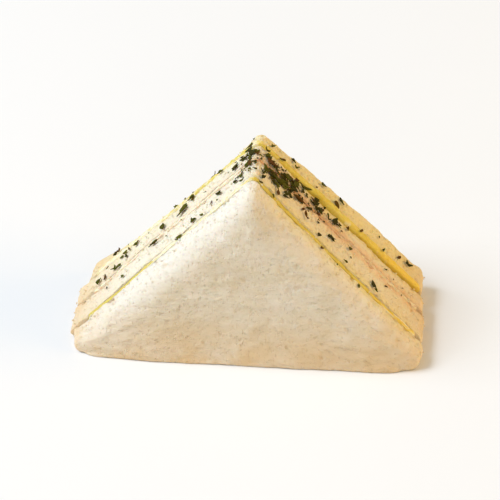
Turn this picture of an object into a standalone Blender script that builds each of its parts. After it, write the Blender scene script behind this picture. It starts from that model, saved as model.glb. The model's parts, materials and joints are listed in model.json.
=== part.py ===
"""A ham and cheese sandwich: one quarter of a square, crustless sandwich, standing on its long side.

Four slices of soft white bread hold a slice of cheese, a slice of ham and a second slice of cheese.
The stack was cut along both diagonals, so the quarter is a triangle with a right angle at its point.
Its foot is the trimmed edge of the loaf, and its two upper sides are fresh knife cuts that show every
layer. The layers lean back a little and fan out towards the foot, the knife has rolled the outer
edges over, and chopped parsley lies on both cuts, thickest just right of the point.

X runs along the foot, Y from the front slice to the rear one, and Z up. The origin is under the
middle, on the face that the sandwich stands on. Lengths are in metres.
"""

import math
import random
from collections import namedtuple

import bmesh
import bpy
from mathutils import Matrix, Vector, noise

MM = 0.001


def mm(*sizes):
    """Sizes in millimetres, as metres."""
    return tuple(size * MM for size in sizes)


# The triangle, measured to where its sides would meet. Both cuts fall at 45 degrees.
WIDTH = 112 * MM
HEIGHT = WIDTH / 2
POINT_RADIUS = 2.2 * MM
POINT_ANGLE, TIP_ANGLE = math.radians(90), math.radians(45)
HALF_DIAGONAL = math.sqrt(0.5)
INRADIUS = WIDTH * HEIGHT / (WIDTH + 2 * HEIGHT / HALF_DIAGONAL)  # of the circle that fits inside

# Depths are counted from the point of the first cheese, and moved to the origin at the end. A seam is
# where a filling lies: point and foot are the depths of its middle at the top and along the foot, bow
# bends the line between them, and thick is the filling.
Seam = namedtuple("Seam", "point foot bow thick wave turn")
SEAMS = {
    "cheese_front": Seam(-0.3 * MM, -9.4 * MM, 0.8, 2.2 * MM, 0.30 * MM, 0.6),
    "ham": Seam(8.8 * MM, 2.6 * MM, 1.2, 1.7 * MM, 0.35 * MM, 2.1),
    "cheese_rear": Seam(17.5 * MM, 12.0 * MM, 0.9, 2.4 * MM, 0.30 * MM, 3.9),
}
WAVE_LENGTH, WAVE_FROM = 76 * MM, 12 * MM  # it grows over this height below the point
GAP = 0.3 * MM  # the air between a filling and the bread on either side of it
CLOSE_FROM, CLOSE_TO = 0.8 * MM, 3.8 * MM  # under a filling, the slices close up between these heights

# A slice lies between two seams, or between a seam and the outside
BETWEEN = {
    "bread_front": (None, "cheese_front"),
    "bread_middle_front": ("cheese_front", "ham"),
    "bread_middle_rear": ("ham", "cheese_rear"),
    "bread_rear": ("cheese_rear", None),
}

# The outer faces of the stack: their depths at the point and along the foot, and how far they swell
FRONT_POINT, FRONT_FOOT = -9.2 * MM, -18.2 * MM
REAR_POINT, REAR_FOOT = 25.4 * MM, 23.8 * MM
SWELL, SWELL_REACH = 1.3 * MM, 20 * MM
DENT, DENT_SIZE = 0.45 * MM, 17 * MM

# At the right tip the rear slice has parted a little from the one before it, and took its cheese along
PARTING = 1.2 * MM
PARTING_FROM, PARTING_TO = 14 * MM, 50 * MM
PARTING_HEIGHT = 40 * MM

# The rim of a layer. trims draw its cuts back and bulges push it to the right between point and foot,
# each at the front face and at the rear face. rolls are how far the front and rear edges fall back,
# tips are the radii of the left and right tips, and stop is how high its lower edge is above the foot.
# The rear slice was dragged to the right, so its cut is wide on the right side and narrow on the left.
Rim = namedtuple("Rim", "trims bulges rolls tips stop seed")
RIMS = {
    "bread_front": Rim(mm(0.6, 0.4), mm(0, -0.7), mm(4.8, 0.5), mm(2.2, 3.4), 0, 3),
    "bread_middle_front": Rim(mm(0.1, 0), mm(-0.6, 0), mm(0.5, 0.5), mm(1.5, 3.8), 0, 8),
    "bread_middle_rear": Rim(mm(0, 0), mm(0, -0.8), mm(0.5, 0.6), mm(1.8, 4.2), 0, 5),
    "bread_rear": Rim(mm(0.4, 0.6), mm(0.6, 3.0), mm(0.6, 4.0), mm(3.0, 4.6), 0, 6),
    "cheese_front": Rim(mm(0.1, 0.1), mm(-0.3, -0.3), mm(0.4, 0.4), mm(2, 2), 5.4 * MM, 2),
    "ham": Rim(mm(0.5, 0.5), mm(0.3, 0.3), mm(0.4, 0.4), mm(2, 2), 5.8 * MM, 4),
    "cheese_rear": Rim(mm(-0.2, -0.2), mm(1.2, 1.3), mm(0.4, 0.4), mm(2, 2), 5.8 * MM, 7),
}
SOFTNESS = 1.5  # an edge rolls over this many times as far in from the rim as it falls back
FOOT_ROLL = 0.7 * MM  # the loaf's trimmed edge keeps a crisp corner
CUT_WAVE, CUT_WAVE_SIZE = 0.35 * MM, 13 * MM  # a knife leaves bread a little uneven

# Rings of vertices on each face of a slab, by how far they are set in from its edge
SOFT_RINGS = mm(17, 12, 7.2, 4.2, 2.1, 0.7, 0)
CRISP_RINGS = mm(18, 11, 4.8, 0.5, 0)
SHEET_RINGS = mm(17, 10, 4.5, 0.4, 0)
CUT_STEPS, FOOT_STEPS, CORNER_STEPS = 14, 16, 3
WELD = 0.001 * MM

# Chopped parsley, as (side, distance down the cut from the point, depth, length, width, turn) in
# millimetres and degrees: side is 1 for the right cut, and a turn of 0 lies down the cut. First the
# largest leaves, of which most fell in one patch, and then the rule for the small ones around them.
MAIN_LEAVES = (
    (1, 4, 13, 3.4, 1.1, 60), (1, 6, 9, 4.2, 1.7, 10), (1, 9, 7.5, 4.5, 1.9, 15), (1, 12, 6, 3.8, 1.6, 5),
    (1, 13, 11, 3.6, 1.9, 30), (1, 16, 10, 3.4, 2.0, 80), (1, 19.5, 13.5, 4.2, 1.1, 10),
    (1, 17.5, 5.5, 4.2, 1.0, 5), (1, 13, 1.5, 2.4, 0.9, 20), (1, 24.5, 10.5, 2.6, 1.4, 40),
    (1, 26, 7.5, 2.0, 1.3, 0), (1, 32.5, 9.5, 3.2, 2.2, 70), (1, 21.5, 1.0, 2.8, 0.9, 120),
    (1, 32, 1.5, 2.9, 1.1, 20), (1, 39.5, 3.5, 1.8, 1.1, 60), (1, 24, 21, 2.4, 0.9, 10),
    (1, 31.5, 20, 2.6, 0.9, 150), (1, 62, 19, 2.2, 1.2, 0),
    (-1, 5, 12, 3.6, 1.0, 0), (-1, 9, 9.5, 2.2, 1.1, 40), (-1, 20.5, 18, 2.2, 1.2, 60),
    (-1, 27, 14, 2.4, 1.4, 0), (-1, 30.5, 7, 4.2, 2.4, 30), (-1, 24, -1.5, 2.6, 0.9, 0),
    (-1, 39, 8.5, 3.2, 1.6, 100), (-1, 42, 3.5, 3.4, 1.0, 0), (-1, 50, 11, 2.2, 1.3, 50),
    (-1, 58, 6, 2.8, 1.0, 0), (-1, 66, 5.5, 2.4, 1.5, 60),
)
SMALL_LEAVES = 30
LEAF_SEED = 11
LEAF_LONGEST, LEAF_SHORTEST = 2.2 * MM, 1.3 * MM
LEAF_SIDES = 6
LEAF_SLIM, LEAF_BROAD = 0.35, 0.7  # width as a share of length
LEAF_SMALLER, LEAF_LARGER = 0.75, 1.1  # how far each corner is from a true ellipse
LEAF_THICK, LEAF_SUNK, LEAF_WAVE = 0.5 * MM, 0.28 * MM, 0.1 * MM
LEAF_CLEAR = 0.1 * MM  # from the rounded edge of the slice that it lies on
PATCH_SHARE, PATCH_ALONG, PATCH_LENGTH = 0.4, 15 * MM, 8 * MM
PATCH_DEPTH, PATCH_SPREAD = 9.5 * MM, 4.5 * MM
LEFT_SHARE = 0.6  # of the small leaves outside the patch
FIRST_LEAF, LAST_LEAF = 3.5 * MM, 64 * MM
STRAY_FRONT, STRAY_REAR = -8 * MM, 24 * MM

# Base colours as linear RGB, and roughness
FINISHES = {
    "bread": ((0.86, 0.74, 0.55), 0.85),
    "cheese": ((0.88, 0.56, 0.10), 0.42),
    "ham": ((0.78, 0.33, 0.20), 0.45),
}


def smooth(value):
    """Eases from 0 to 1 as value goes from 0 to 1, and stays there outside."""
    share = min(max(value, 0.0), 1.0)
    return share * share * (3 - 2 * share)


def mix(start, end, share):
    return start + (end - start) * share


# The layers, as depths over the face of the triangle


def inside_cut(x, z):
    """How far a point of the face lies inside the nearer cut, square to that cut."""
    return max(HEIGHT - z - abs(x), 0.0) * HALF_DIAGONAL


def parting(x, z):
    """How far the rear slice has opened away from the slice before it."""
    across = smooth((x - PARTING_FROM) / (PARTING_TO - PARTING_FROM))
    return PARTING * across * smooth(1 - z / PARTING_HEIGHT)


def seam_depth(name, x, z):
    """The depth of the middle of a seam, which leans back and has a slow wave in it."""
    seam = SEAMS[name]
    down = max(1 - z / HEIGHT, 0.0)
    wave = seam.wave * math.sin(math.tau * (x + z) / WAVE_LENGTH + seam.turn)
    return mix(seam.point, seam.foot, down**seam.bow) + wave * smooth((HEIGHT - z) / WAVE_FROM)


def seam_room(name, z):
    """Half the space that a seam takes, which closes up below the filling's lower edge."""
    half = SEAMS[name].thick / 2 + GAP
    return mix(GAP / 2, half, smooth((z - CLOSE_FROM) / (CLOSE_TO - CLOSE_FROM)))


def swell(name, x, z):
    """How far an outer face stands proud: a soft cushion with shallow dents."""
    dents = noise.noise(Vector((x, RIMS[name].seed * DENT_SIZE, z)) / DENT_SIZE)
    return (SWELL + DENT * dents) * (1 - max(1 - inside_cut(x, z) / SWELL_REACH, 0) ** 2)


def front_depth(name, x, z):
    """The depth of a slice's front face."""
    seam = BETWEEN[name][0]
    if seam is None:
        return mix(FRONT_POINT, FRONT_FOOT, 1 - z / HEIGHT) - swell(name, x, z)
    apart = parting(x, z) if seam == "cheese_rear" else 0.0
    return seam_depth(seam, x, z) + seam_room(seam, z) + apart


def rear_depth(name, x, z):
    """The depth of a slice's rear face."""
    seam = BETWEEN[name][1]
    if seam is None:
        return mix(REAR_POINT, REAR_FOOT, 1 - z / HEIGHT) + swell(name, x, z) + parting(x, z)
    return seam_depth(seam, x, z) - seam_room(seam, z)


def sheet_depth(name, x, z, way):
    """The depth of a filling's front face (way -1) or rear face (way 1)."""
    apart = parting(x, z) if name == "cheese_rear" else 0.0
    return seam_depth(name, x, z) + apart + way * SEAMS[name].thick / 2


# Outlines, in the plane of the face


def rounded_triangle(tips):
    """The whole triangle as points (x, z, share of foot), from the left tip over the point."""
    corners = (
        (Vector((-WIDTH / 2, 0)), tips[0], TIP_ANGLE, 0.5, CUT_STEPS, 0.0),
        (Vector((0, HEIGHT)), POINT_RADIUS, POINT_ANGLE, 0.0, CUT_STEPS, 0.0),
        (Vector((WIDTH / 2, 0)), tips[1], TIP_ANGLE, 0.5, FOOT_STEPS, 1.0),
    )
    arcs = []
    for corner, radius, angle, *_ in corners:
        outward = (corner - Vector((0, INRADIUS))).normalized()
        middle = corner - outward * radius / math.sin(angle / 2)
        sweep = math.pi - angle
        turns = [sweep * (0.5 - step / CORNER_STEPS) for step in range(CORNER_STEPS + 1)]
        arcs.append([middle + Matrix.Rotation(turn, 2) @ outward * radius for turn in turns])
    points = []
    for index, (*_, at_corner, steps, on_side) in enumerate(corners):
        points += [(place.x, place.y, at_corner) for place in arcs[index]]
        start, end = arcs[index][-1], arcs[(index + 1) % 3][0]
        places = [start.lerp(end, step / steps) for step in range(1, steps)]
        points += [(place.x, place.y, on_side) for place in places]
    return points


def on_rim(name, x, z, through, foot=0.0):
    """A point of the whole triangle, moved to where a layer has it.

    through is 0 at the layer's front face and 1 at its rear face.
    """
    rim = RIMS[name]
    wave = noise.noise(Vector((x, z, rim.seed * CUT_WAVE_SIZE)) / CUT_WAVE_SIZE)
    back = mix(*rim.trims, through) - CUT_WAVE * wave * (1 - foot)
    scale = 1 - (rim.stop + back / HALF_DIAGONAL) / HEIGHT
    x, z = x * scale, rim.stop + z * scale
    return x + mix(*rim.bulges, through) * math.sin(math.pi * (1 - z / HEIGHT)), z


# Solids


def fall(inset, radius):
    """How far a rounded edge of this depth has fallen back, this far in from the rim."""
    left = 1 - inset / (radius * SOFTNESS)
    return radius - radius * math.sqrt(1 - left**2) if left > 0 else 0.0


def slab(name, front, rear, front_rings, rear_rings):
    """One layer: a grid wrapped round it like a bag, from one middle over the rim to the other.

    Each row of the grid is a ring, and the first and last rows shrink to the middle of a face.
    front and rear are depth functions.
    """
    rim = RIMS[name]
    points = rounded_triangle(rim.tips)
    rows = [(inset, 0, front, rim.rolls[0]) for inset in (INRADIUS, *front_rings)]
    rows += [(inset, 1, rear, -rim.rolls[1]) for inset in (*reversed(rear_rings), INRADIUS)]
    bm = bmesh.new()
    bmesh.ops.create_grid(bm, x_segments=len(points), y_segments=len(rows) - 1, size=0.5)
    for vert in bm.verts:
        column = round((vert.co.x + 0.5) * len(points)) % len(points)
        inset, through, depth, roll = rows[round((vert.co.y + 0.5) * (len(rows) - 1))]
        x, z, foot = points[column]
        x, z = on_rim(name, x, z, through, foot)
        middle = on_rim(name, 0.0, INRADIUS, through, 1.0)
        keep = 1 - inset / INRADIUS
        x, z = mix(middle[0], x, keep), mix(middle[1], z, keep)
        radius = mix(abs(roll), min(FOOT_ROLL, abs(roll)), smooth(foot))
        vert.co = (x, depth(x, z) + math.copysign(fall(inset, radius), roll), z)
    bmesh.ops.remove_doubles(bm, verts=bm.verts, dist=WELD)
    bmesh.ops.recalc_face_normals(bm, faces=bm.faces)
    bmesh.ops.triangulate(bm, faces=bm.faces)
    mesh = bpy.data.meshes.new(name)
    bm.to_mesh(mesh)
    bm.free()
    mesh.shade_smooth()
    return bpy.data.objects.new(name, mesh)


def bread_slice(name):
    return slab(
        name,
        lambda x, z: front_depth(name, x, z),
        lambda x, z: rear_depth(name, x, z),
        CRISP_RINGS if BETWEEN[name][0] else SOFT_RINGS,
        CRISP_RINGS if BETWEEN[name][1] else SOFT_RINGS,
    )


def filling(name):
    return slab(
        name,
        lambda x, z: sheet_depth(name, x, z, -1),
        lambda x, z: sheet_depth(name, x, z, 1),
        SHEET_RINGS,
        SHEET_RINGS,
    )


# Chopped parsley, fused to the bread that it lies on


def scattered_leaves():
    """All leaves in metres and radians, as MAIN_LEAVES has them, the largest first."""
    draw = random.Random(LEAF_SEED)
    leaves = []
    for side, along, depth, length, width, turn in MAIN_LEAVES:
        leaves.append((side, along * MM, depth * MM, length * MM, width * MM, math.radians(turn)))
    for _ in range(SMALL_LEAVES):
        if draw.random() < PATCH_SHARE:
            side = 1
            along = draw.gauss(PATCH_ALONG, PATCH_LENGTH)
            depth = draw.gauss(PATCH_DEPTH, PATCH_SPREAD)
        else:
            side = -1 if draw.random() < LEFT_SHARE else 1
            along = draw.uniform(FIRST_LEAF, LAST_LEAF)
            depth = draw.uniform(STRAY_FRONT, STRAY_REAR)
        along = min(max(along, FIRST_LEAF), LAST_LEAF)
        length = draw.uniform(LEAF_SHORTEST, LEAF_LONGEST)
        width = length * draw.uniform(LEAF_SLIM, LEAF_BROAD)
        leaves.append((side, along, depth, length, width, draw.uniform(0, math.pi)))
    return sorted(leaves, key=lambda leaf: -leaf[3])


def slice_under(x, z, depth, reach):
    """The slice nearest to a depth on the cut that has room for a leaf, and the leaf's depth on it."""
    best = None
    for name in BETWEEN:
        rolls = RIMS[name].rolls
        low = front_depth(name, x, z) + rolls[0] + LEAF_CLEAR + reach
        high = rear_depth(name, x, z) - rolls[1] - LEAF_CLEAR - reach
        if low > high:
            continue
        place = min(max(depth, low), high)
        if best is None or abs(place - depth) < abs(best[1] - depth):
            best = (name, place)
    return best


def leaf_solid(name, length, width, draw):
    """A thin wavy scrap of leaf, lying flat at the origin, with both faces split alike."""
    bm = bmesh.new()
    bmesh.ops.create_circle(bm, cap_ends=True, segments=LEAF_SIDES, radius=0.5)
    for vert in bm.verts:
        vert.co.x *= length * draw.uniform(LEAF_SMALLER, LEAF_LARGER)
        vert.co.y *= width * draw.uniform(LEAF_SMALLER, LEAF_LARGER)
        vert.co.z = draw.uniform(-LEAF_WAVE, LEAF_WAVE) - LEAF_SUNK
    bmesh.ops.triangulate(bm, faces=bm.faces)
    raised = bmesh.ops.extrude_face_region(bm, geom=list(bm.faces), use_keep_orig=True)["geom"]
    tops = [item for item in raised if isinstance(item, bmesh.types.BMVert)]
    bmesh.ops.translate(bm, verts=tops, vec=(0, 0, LEAF_THICK))
    bmesh.ops.recalc_face_normals(bm, faces=bm.faces)
    mesh = bpy.data.meshes.new(name)
    bm.to_mesh(mesh)
    bm.free()
    return bpy.data.objects.new(name, mesh)


def lay_leaves(collections):
    """Puts every leaf on the cut of the slice that it fell on, in that slice's own collection."""
    draw = random.Random(LEAF_SEED + 1)
    for number, (side, along, depth, length, width, turn) in enumerate(scattered_leaves()):
        x, z = side * along * HALF_DIAGONAL, HEIGHT - along * HALF_DIAGONAL
        reach = length / 2 * abs(math.sin(turn)) + width / 2 * abs(math.cos(turn))
        found = slice_under(x, z, depth, reach * LEAF_LARGER)
        if found is None:
            continue
        name, depth = found
        rolls = RIMS[name].rolls
        front, rear = front_depth(name, x, z) + rolls[0], rear_depth(name, x, z) - rolls[1]
        x, z = on_rim(name, x, z, (depth - front) / (rear - front))
        leaf = leaf_solid(f"leaf_{number}", length, width, draw)
        normal = Vector((side * HALF_DIAGONAL, 0, HALF_DIAGONAL))
        down = Vector((side * HALF_DIAGONAL, 0, -HALF_DIAGONAL))
        lie = Matrix((down, normal.cross(down), normal)).transposed()
        spin = Matrix.Rotation(turn, 3, "Z")
        leaf.matrix_world = Matrix.Translation((x, depth, z)) @ (lie @ spin).to_4x4()
        collections[name].objects.link(leaf)


def fuse(piece, leaves):
    """Joins a collection of leaves to the slice under them, and removes the loose leaves."""
    union = piece.modifiers.new("leaves", "BOOLEAN")
    union.operation = "UNION"
    union.operand_type = "COLLECTION"
    union.collection = leaves
    union.solver = "EXACT"
    depsgraph = bpy.context.evaluated_depsgraph_get()
    fused = bpy.data.meshes.new_from_object(piece.evaluated_get(depsgraph))
    piece.modifiers.clear()
    loose = piece.data
    piece.data = fused
    bpy.data.meshes.remove(loose)
    fused.name = piece.name
    for leaf in list(leaves.objects):
        bpy.data.objects.remove(leaf)
    bpy.data.collections.remove(leaves)


# The whole sandwich


def finish(name):
    """A plain material with the base colour and roughness of one food."""
    material = bpy.data.materials.new(name)
    material.use_nodes = True
    colour, roughness = FINISHES[name]
    shader = material.node_tree.nodes["Principled BSDF"]
    shader.inputs["Base Color"].default_value = (*colour, 1.0)
    shader.inputs["Roughness"].default_value = roughness
    shader.inputs["Metallic"].default_value = 0.0
    material.diffuse_color = (*colour, 1.0)
    return material


def centre_on_foot(pieces):
    """Moves the sandwich so that the origin is under the middle of its box."""
    places = [vert.co for piece in pieces for vert in piece.data.vertices]
    lows = [min(place[axis] for place in places) for axis in range(3)]
    highs = [max(place[axis] for place in places) for axis in range(3)]
    shift = Vector((-(lows[0] + highs[0]) / 2, -(lows[1] + highs[1]) / 2, -lows[2]))
    for piece in pieces:
        piece.data.transform(Matrix.Translation(shift))


def build():
    for old in list(bpy.data.objects):
        bpy.data.objects.remove(old)
    sandwich = bpy.data.collections.new("ham_and_cheese_sandwich")
    bpy.context.scene.collection.children.link(sandwich)
    scraps = {}
    for name in BETWEEN:
        scraps[name] = bpy.data.collections.new(f"leaves_on_{name}")
        bpy.context.scene.collection.children.link(scraps[name])
    finishes = {name: finish(name) for name in FINISHES}
    pieces = [bread_slice(name) for name in BETWEEN] + [filling(name) for name in SEAMS]
    for piece in pieces:
        piece.data.materials.append(finishes[piece.name.split("_")[0]])
        sandwich.objects.link(piece)
    lay_leaves(scraps)
    for piece in pieces:
        if piece.name in scraps:
            fuse(piece, scraps[piece.name])
    centre_on_foot(pieces)


build()
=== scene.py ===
# %% [markdown]
# # A ham and cheese sandwich, layer by layer
# This lesson dresses one quarter of a crustless sandwich: four slices of white bread with cheese, ham
# and cheese between them, and chopped parsley strewn over the two cut sides. The shapes were settled
# in CAD, and they load here as a fixed frame. Everything below is built round that frame, in metres,
# with X along the foot, Y from the front slice to the rear one and Z up.

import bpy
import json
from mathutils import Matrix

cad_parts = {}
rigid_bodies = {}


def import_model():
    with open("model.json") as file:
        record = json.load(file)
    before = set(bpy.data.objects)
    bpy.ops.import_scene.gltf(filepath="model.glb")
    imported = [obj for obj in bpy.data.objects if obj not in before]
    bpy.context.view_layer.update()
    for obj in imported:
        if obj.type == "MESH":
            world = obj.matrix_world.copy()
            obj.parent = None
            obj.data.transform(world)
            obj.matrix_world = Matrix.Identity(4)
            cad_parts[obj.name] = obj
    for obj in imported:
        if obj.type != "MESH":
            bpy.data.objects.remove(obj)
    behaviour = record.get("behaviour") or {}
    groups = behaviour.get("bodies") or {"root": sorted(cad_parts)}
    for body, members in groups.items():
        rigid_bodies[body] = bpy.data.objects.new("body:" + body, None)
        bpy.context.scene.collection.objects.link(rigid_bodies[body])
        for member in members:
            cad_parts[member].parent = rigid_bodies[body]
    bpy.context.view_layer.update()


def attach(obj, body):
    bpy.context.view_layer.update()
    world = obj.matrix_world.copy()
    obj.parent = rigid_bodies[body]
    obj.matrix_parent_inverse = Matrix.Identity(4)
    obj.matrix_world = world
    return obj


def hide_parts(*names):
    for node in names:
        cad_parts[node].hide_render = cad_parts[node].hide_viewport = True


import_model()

# %% [markdown]
# ## Units and small helpers
# Food is soft, so almost nothing on it starts or stops at once. Two helpers do most of that work:
# one mixes two values, and one eases from 0 to 1. Sizes are written in millimetres, because that is
# how bread and cheese are thought of, and turned into metres by one constant. One more helper puts
# whatever was made, a lamp or a slice, into the scene.

# %% Units and easing
import json
import math
import random
from collections import namedtuple

import bmesh
import bpy
from mathutils import Matrix, Vector, noise

MM = 0.001


def mm(*sizes):
    """Sizes in millimetres, as metres."""
    return tuple(size * MM for size in sizes)


def mix(start, end, share):
    return start + (end - start) * share


def smooth(value):
    """Eases from 0 to 1 as value goes from 0 to 1, and stays there outside."""
    share = min(max(value, 0.0), 1.0)
    return share * share * (3 - 2 * share)


def link_new(name, data):
    """Puts new data into the scene, as an object of this name."""
    made = bpy.data.objects.new(name, data)
    bpy.context.scene.collection.objects.link(made)
    return made


print("halfway, eased:", smooth(0.5))

# %% [markdown]
# ## The camera
# A small thing on a table is photographed from far off with a long lens, which keeps its sides
# nearly parallel. The view is from slightly right of the front and well above, so that the front
# face and both cut sides show. A camera could be given a place and three turns, but two angles and
# a distance say the same thing more plainly, and they serve for the lamps as well.

# %% Camera
AZIMUTH, ELEVATION = 5, 36
DISTANCE, LENS = 1.02, 250
TARGET = Vector((0, 0, 0.026))


def aim(thing, azimuth, elevation, distance):
    """Puts a camera or a lamp at these angles, in degrees, and turns it to the sandwich."""
    sideways, upwards = math.radians(azimuth), math.radians(elevation)
    flat = math.cos(upwards)
    way = Vector((math.sin(sideways) * flat, -math.cos(sideways) * flat, math.sin(upwards)))
    thing.location = TARGET + way * distance
    thing.rotation_euler = way.to_track_quat("Z", "Y").to_euler()


camera = link_new("camera", bpy.data.cameras.new("camera"))
camera.data.lens = LENS
aim(camera, AZIMUTH, ELEVATION, DISTANCE)
bpy.context.scene.camera = camera
print("camera at", [round(value, 3) for value in camera.location])

# %% [markdown]
# ## Light
# Bread looks soft only in soft light, so every lamp is a large panel. The main one hangs at the
# upper left and makes the left cut the brightest side. A warm one at the right brings out the
# butter in the right cut, and a faint one low in front keeps the face from going grey. A pale sky
# fills the rest. The plain view transform keeps pale colours as pale as they are set.

# %% Light
SKY_COLOUR, SKY_STRENGTH = (1.0, 0.955, 0.85, 1), 0.40
LAMPS = {
    "key": dict(azimuth=-84, elevation=46, distance=2.7, size=1.4, power=67, colour=(0.90, 0.97, 1.04)),
    "warm": dict(azimuth=90, elevation=20, distance=1.6, size=0.9, power=12.5, colour=(1.0, 0.60, 0.12)),
    "low": dict(azimuth=5, elevation=9, distance=1.6, size=0.9, power=3.0, colour=(1.0, 0.80, 0.50)),
}


def hang_lamp(name, azimuth, elevation, distance, size, power, colour):
    """Hangs a square panel that faces the sandwich."""
    lamp = link_new(name, bpy.data.lights.new(name, "AREA"))
    lamp.data.size = size
    lamp.data.energy = power
    lamp.data.color = colour
    aim(lamp, azimuth, elevation, distance)


for lamp_name, settings in LAMPS.items():
    hang_lamp(lamp_name, **settings)
world = bpy.data.worlds.new("pale_sky")
world.use_nodes = True
world.node_tree.nodes["Background"].inputs["Color"].default_value = SKY_COLOUR
world.node_tree.nodes["Background"].inputs["Strength"].default_value = SKY_STRENGTH
bpy.context.scene.world = world
bpy.context.scene.view_settings.view_transform = "Standard"
print("lamps:", ", ".join(LAMPS))

# %% [markdown]
# ## A short way to build nodes
# Materials and geometry trees are built in the same way here: a node is added, its settings are set,
# and each input gets either a value or another node's output. Doing that by hand takes four or five
# lines a node, so one helper does it, and a few small ones name the sums that come up most. Another
# one makes a group with named inputs and outputs, so that an effect is built once and used often.

# %% Node helpers


def feed(tree, socket, value):
    """Gives a socket another node's output, or a plain value."""
    if isinstance(value, bpy.types.NodeSocket):
        tree.links.new(value, socket)
    else:
        socket.default_value = value


def node(tree, kind, inputs=None, **settings):
    """Adds a node. Its inputs go by their names or their numbers."""
    made = tree.nodes.new(kind)
    for setting, value in settings.items():
        setattr(made, setting, value)
    for key, value in (inputs or {}).items():
        feed(tree, made.inputs[key], value)
    return made


def maths(tree, operation, *values):
    return node(tree, "ShaderNodeMath", dict(enumerate(values)), operation=operation).outputs[0]


def weigh(tree, *parts):
    """The sum of pairs of a mask and its weight."""
    total = maths(tree, "MULTIPLY", *parts[0])
    for mask, weight in parts[1:]:
        total = maths(tree, "MULTIPLY_ADD", mask, weight, total)
    return total


def vector_maths(tree, operation, first, second):
    other = "Scale" if operation == "SCALE" else 1
    return node(tree, "ShaderNodeVectorMath", {0: first, other: second}, operation=operation).outputs[0]


def along(tree, place, axis):
    """How far a place lies along X (0), Y (1) or Z (2)."""
    return node(tree, "ShaderNodeSeparateXYZ", {0: place}).outputs[axis]


def ramp(tree, value, start, end, low=0.0, high=1.0):
    """Eases from low to high while value goes from start to end."""
    inputs = {"Value": value, "From Min": start, "From Max": end, "To Min": low, "To Max": high}
    return node(tree, "ShaderNodeMapRange", inputs, interpolation_type="SMOOTHSTEP").outputs[0]


def mix_colours(tree, share, first, second):
    inputs = {0: share, 6: first, 7: second}
    return node(tree, "ShaderNodeMix", inputs, data_type="RGBA").outputs[2]


print("node helpers are ready")

# %% Groups with named sockets
FLOAT, VECTOR, GEOMETRY = "NodeSocketFloat", "NodeSocketVector", "NodeSocketGeometry"


def new_group(name, kind, inputs, outputs):
    """A node group with named sockets: inputs as name: (type, value), outputs as name: type."""
    tree = bpy.data.node_groups.new(name, kind)
    for label, (socket_type, value) in inputs.items():
        socket = tree.interface.new_socket(label, in_out="INPUT", socket_type=socket_type)
        if value is not None:
            socket.default_value = value
    for label, socket_type in outputs.items():
        tree.interface.new_socket(label, in_out="OUTPUT", socket_type=socket_type)
    return tree, tree.nodes.new("NodeGroupInput").outputs, tree.nodes.new("NodeGroupOutput").inputs


def use(tree, group, **inputs):
    """Places a shader group in a material and returns its one output."""
    return node(tree, "ShaderNodeGroup", inputs, node_tree=group).outputs[0]


print("socket types:", FLOAT, VECTOR, GEOMETRY)

# %% [markdown]
# ## Effects that several finishes share
# Real food is never one flat colour. Three effects are built once as shader groups. Mottle gives
# soft, cloudy patches. Grain gives a fine, even roughness. Pits gives the small round holes that gas
# leaves in dough and in cooked meat: cells of mixed sizes, each with a round pit in its middle.
# Plain noise could stand for all three, but its holes are never round. Each group puts out a mask
# or a height, and every finish uses it at its own size.

# %% Noise and pits
PIT_VARIETY, LEAST_PIT, PIT_FLOOR = 1.6, 0.02, 0.35


def cloudy(tree, place, size, detail=2.0, roughness=0.5):
    """Smooth noise whose patches are about this wide."""
    scale = maths(tree, "DIVIDE", 1.0, size)
    inputs = {"Vector": place, "Scale": scale, "Detail": detail, "Roughness": roughness}
    return node(tree, "ShaderNodeTexNoise", inputs)


def build_pits(tree, place, size, fullness, seed):
    """Round pits of mixed sizes: 0 on the walls between them and 1 on their floors."""
    cells = {"Vector": place, "Scale": maths(tree, "DIVIDE", 1.0, size), "W": seed}
    cells = node(tree, "ShaderNodeTexVoronoi", cells, voronoi_dimensions="4D")
    lot = maths(tree, "POWER", along(tree, cells.outputs["Color"], 0), PIT_VARIETY)
    radius = maths(tree, "MAXIMUM", maths(tree, "MULTIPLY", fullness, lot), LEAST_PIT)
    return ramp(tree, cells.outputs["Distance"], radius, maths(tree, "MULTIPLY", radius, PIT_FLOOR))


print("a pit's flat floor is", PIT_FLOOR, "of its width")

# %% Shared groups
MOTTLE, given, out = new_group(
    "Mottle",
    "ShaderNodeTree",
    {"Place": (VECTOR, None), "Size": (FLOAT, 0.01), "Contrast": (FLOAT, 0.2)},
    {"Mask": FLOAT},
)
patches = cloudy(MOTTLE, given["Place"], given["Size"], 3.0, 0.55).outputs[0]
low_end = maths(MOTTLE, "SUBTRACT", 0.5, given["Contrast"])
high_end = maths(MOTTLE, "ADD", 0.5, given["Contrast"])
feed(MOTTLE, out["Mask"], ramp(MOTTLE, patches, low_end, high_end))

GRAIN, given, out = new_group(
    "Grain", "ShaderNodeTree", {"Place": (VECTOR, None), "Size": (FLOAT, 0.0003)}, {"Height": FLOAT}
)
feed(GRAIN, out["Height"], cloudy(GRAIN, given["Place"], given["Size"], 4.0, 0.6).outputs[0])

PITS, given, out = new_group(
    "Pits",
    "ShaderNodeTree",
    {"Place": (VECTOR, None), "Size": (FLOAT, 0.001), "Fullness": (FLOAT, 0.6), "Seed": (FLOAT, 0.0)},
    {"Mask": FLOAT},
)
pit_mask = build_pits(PITS, given["Place"], given["Size"], given["Fullness"], given["Seed"])
feed(PITS, out["Mask"], pit_mask)
print("shared groups:", MOTTLE.name, GRAIN.name, PITS.name)

# %% [markdown]
# ## Starting a finish
# Each finish is a Principled shader with what never changes set on its own sockets: how much light
# goes in and spreads, and how glossy it is. Colour, roughness and bump come from nodes. Bread,
# cheese and ham all let light in, which is what keeps them from looking like plaster. What a point
# is, cut or face, bare or smeared, is a mark that was stored on the mesh, and a finish reads it.

# %% A finish


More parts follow.
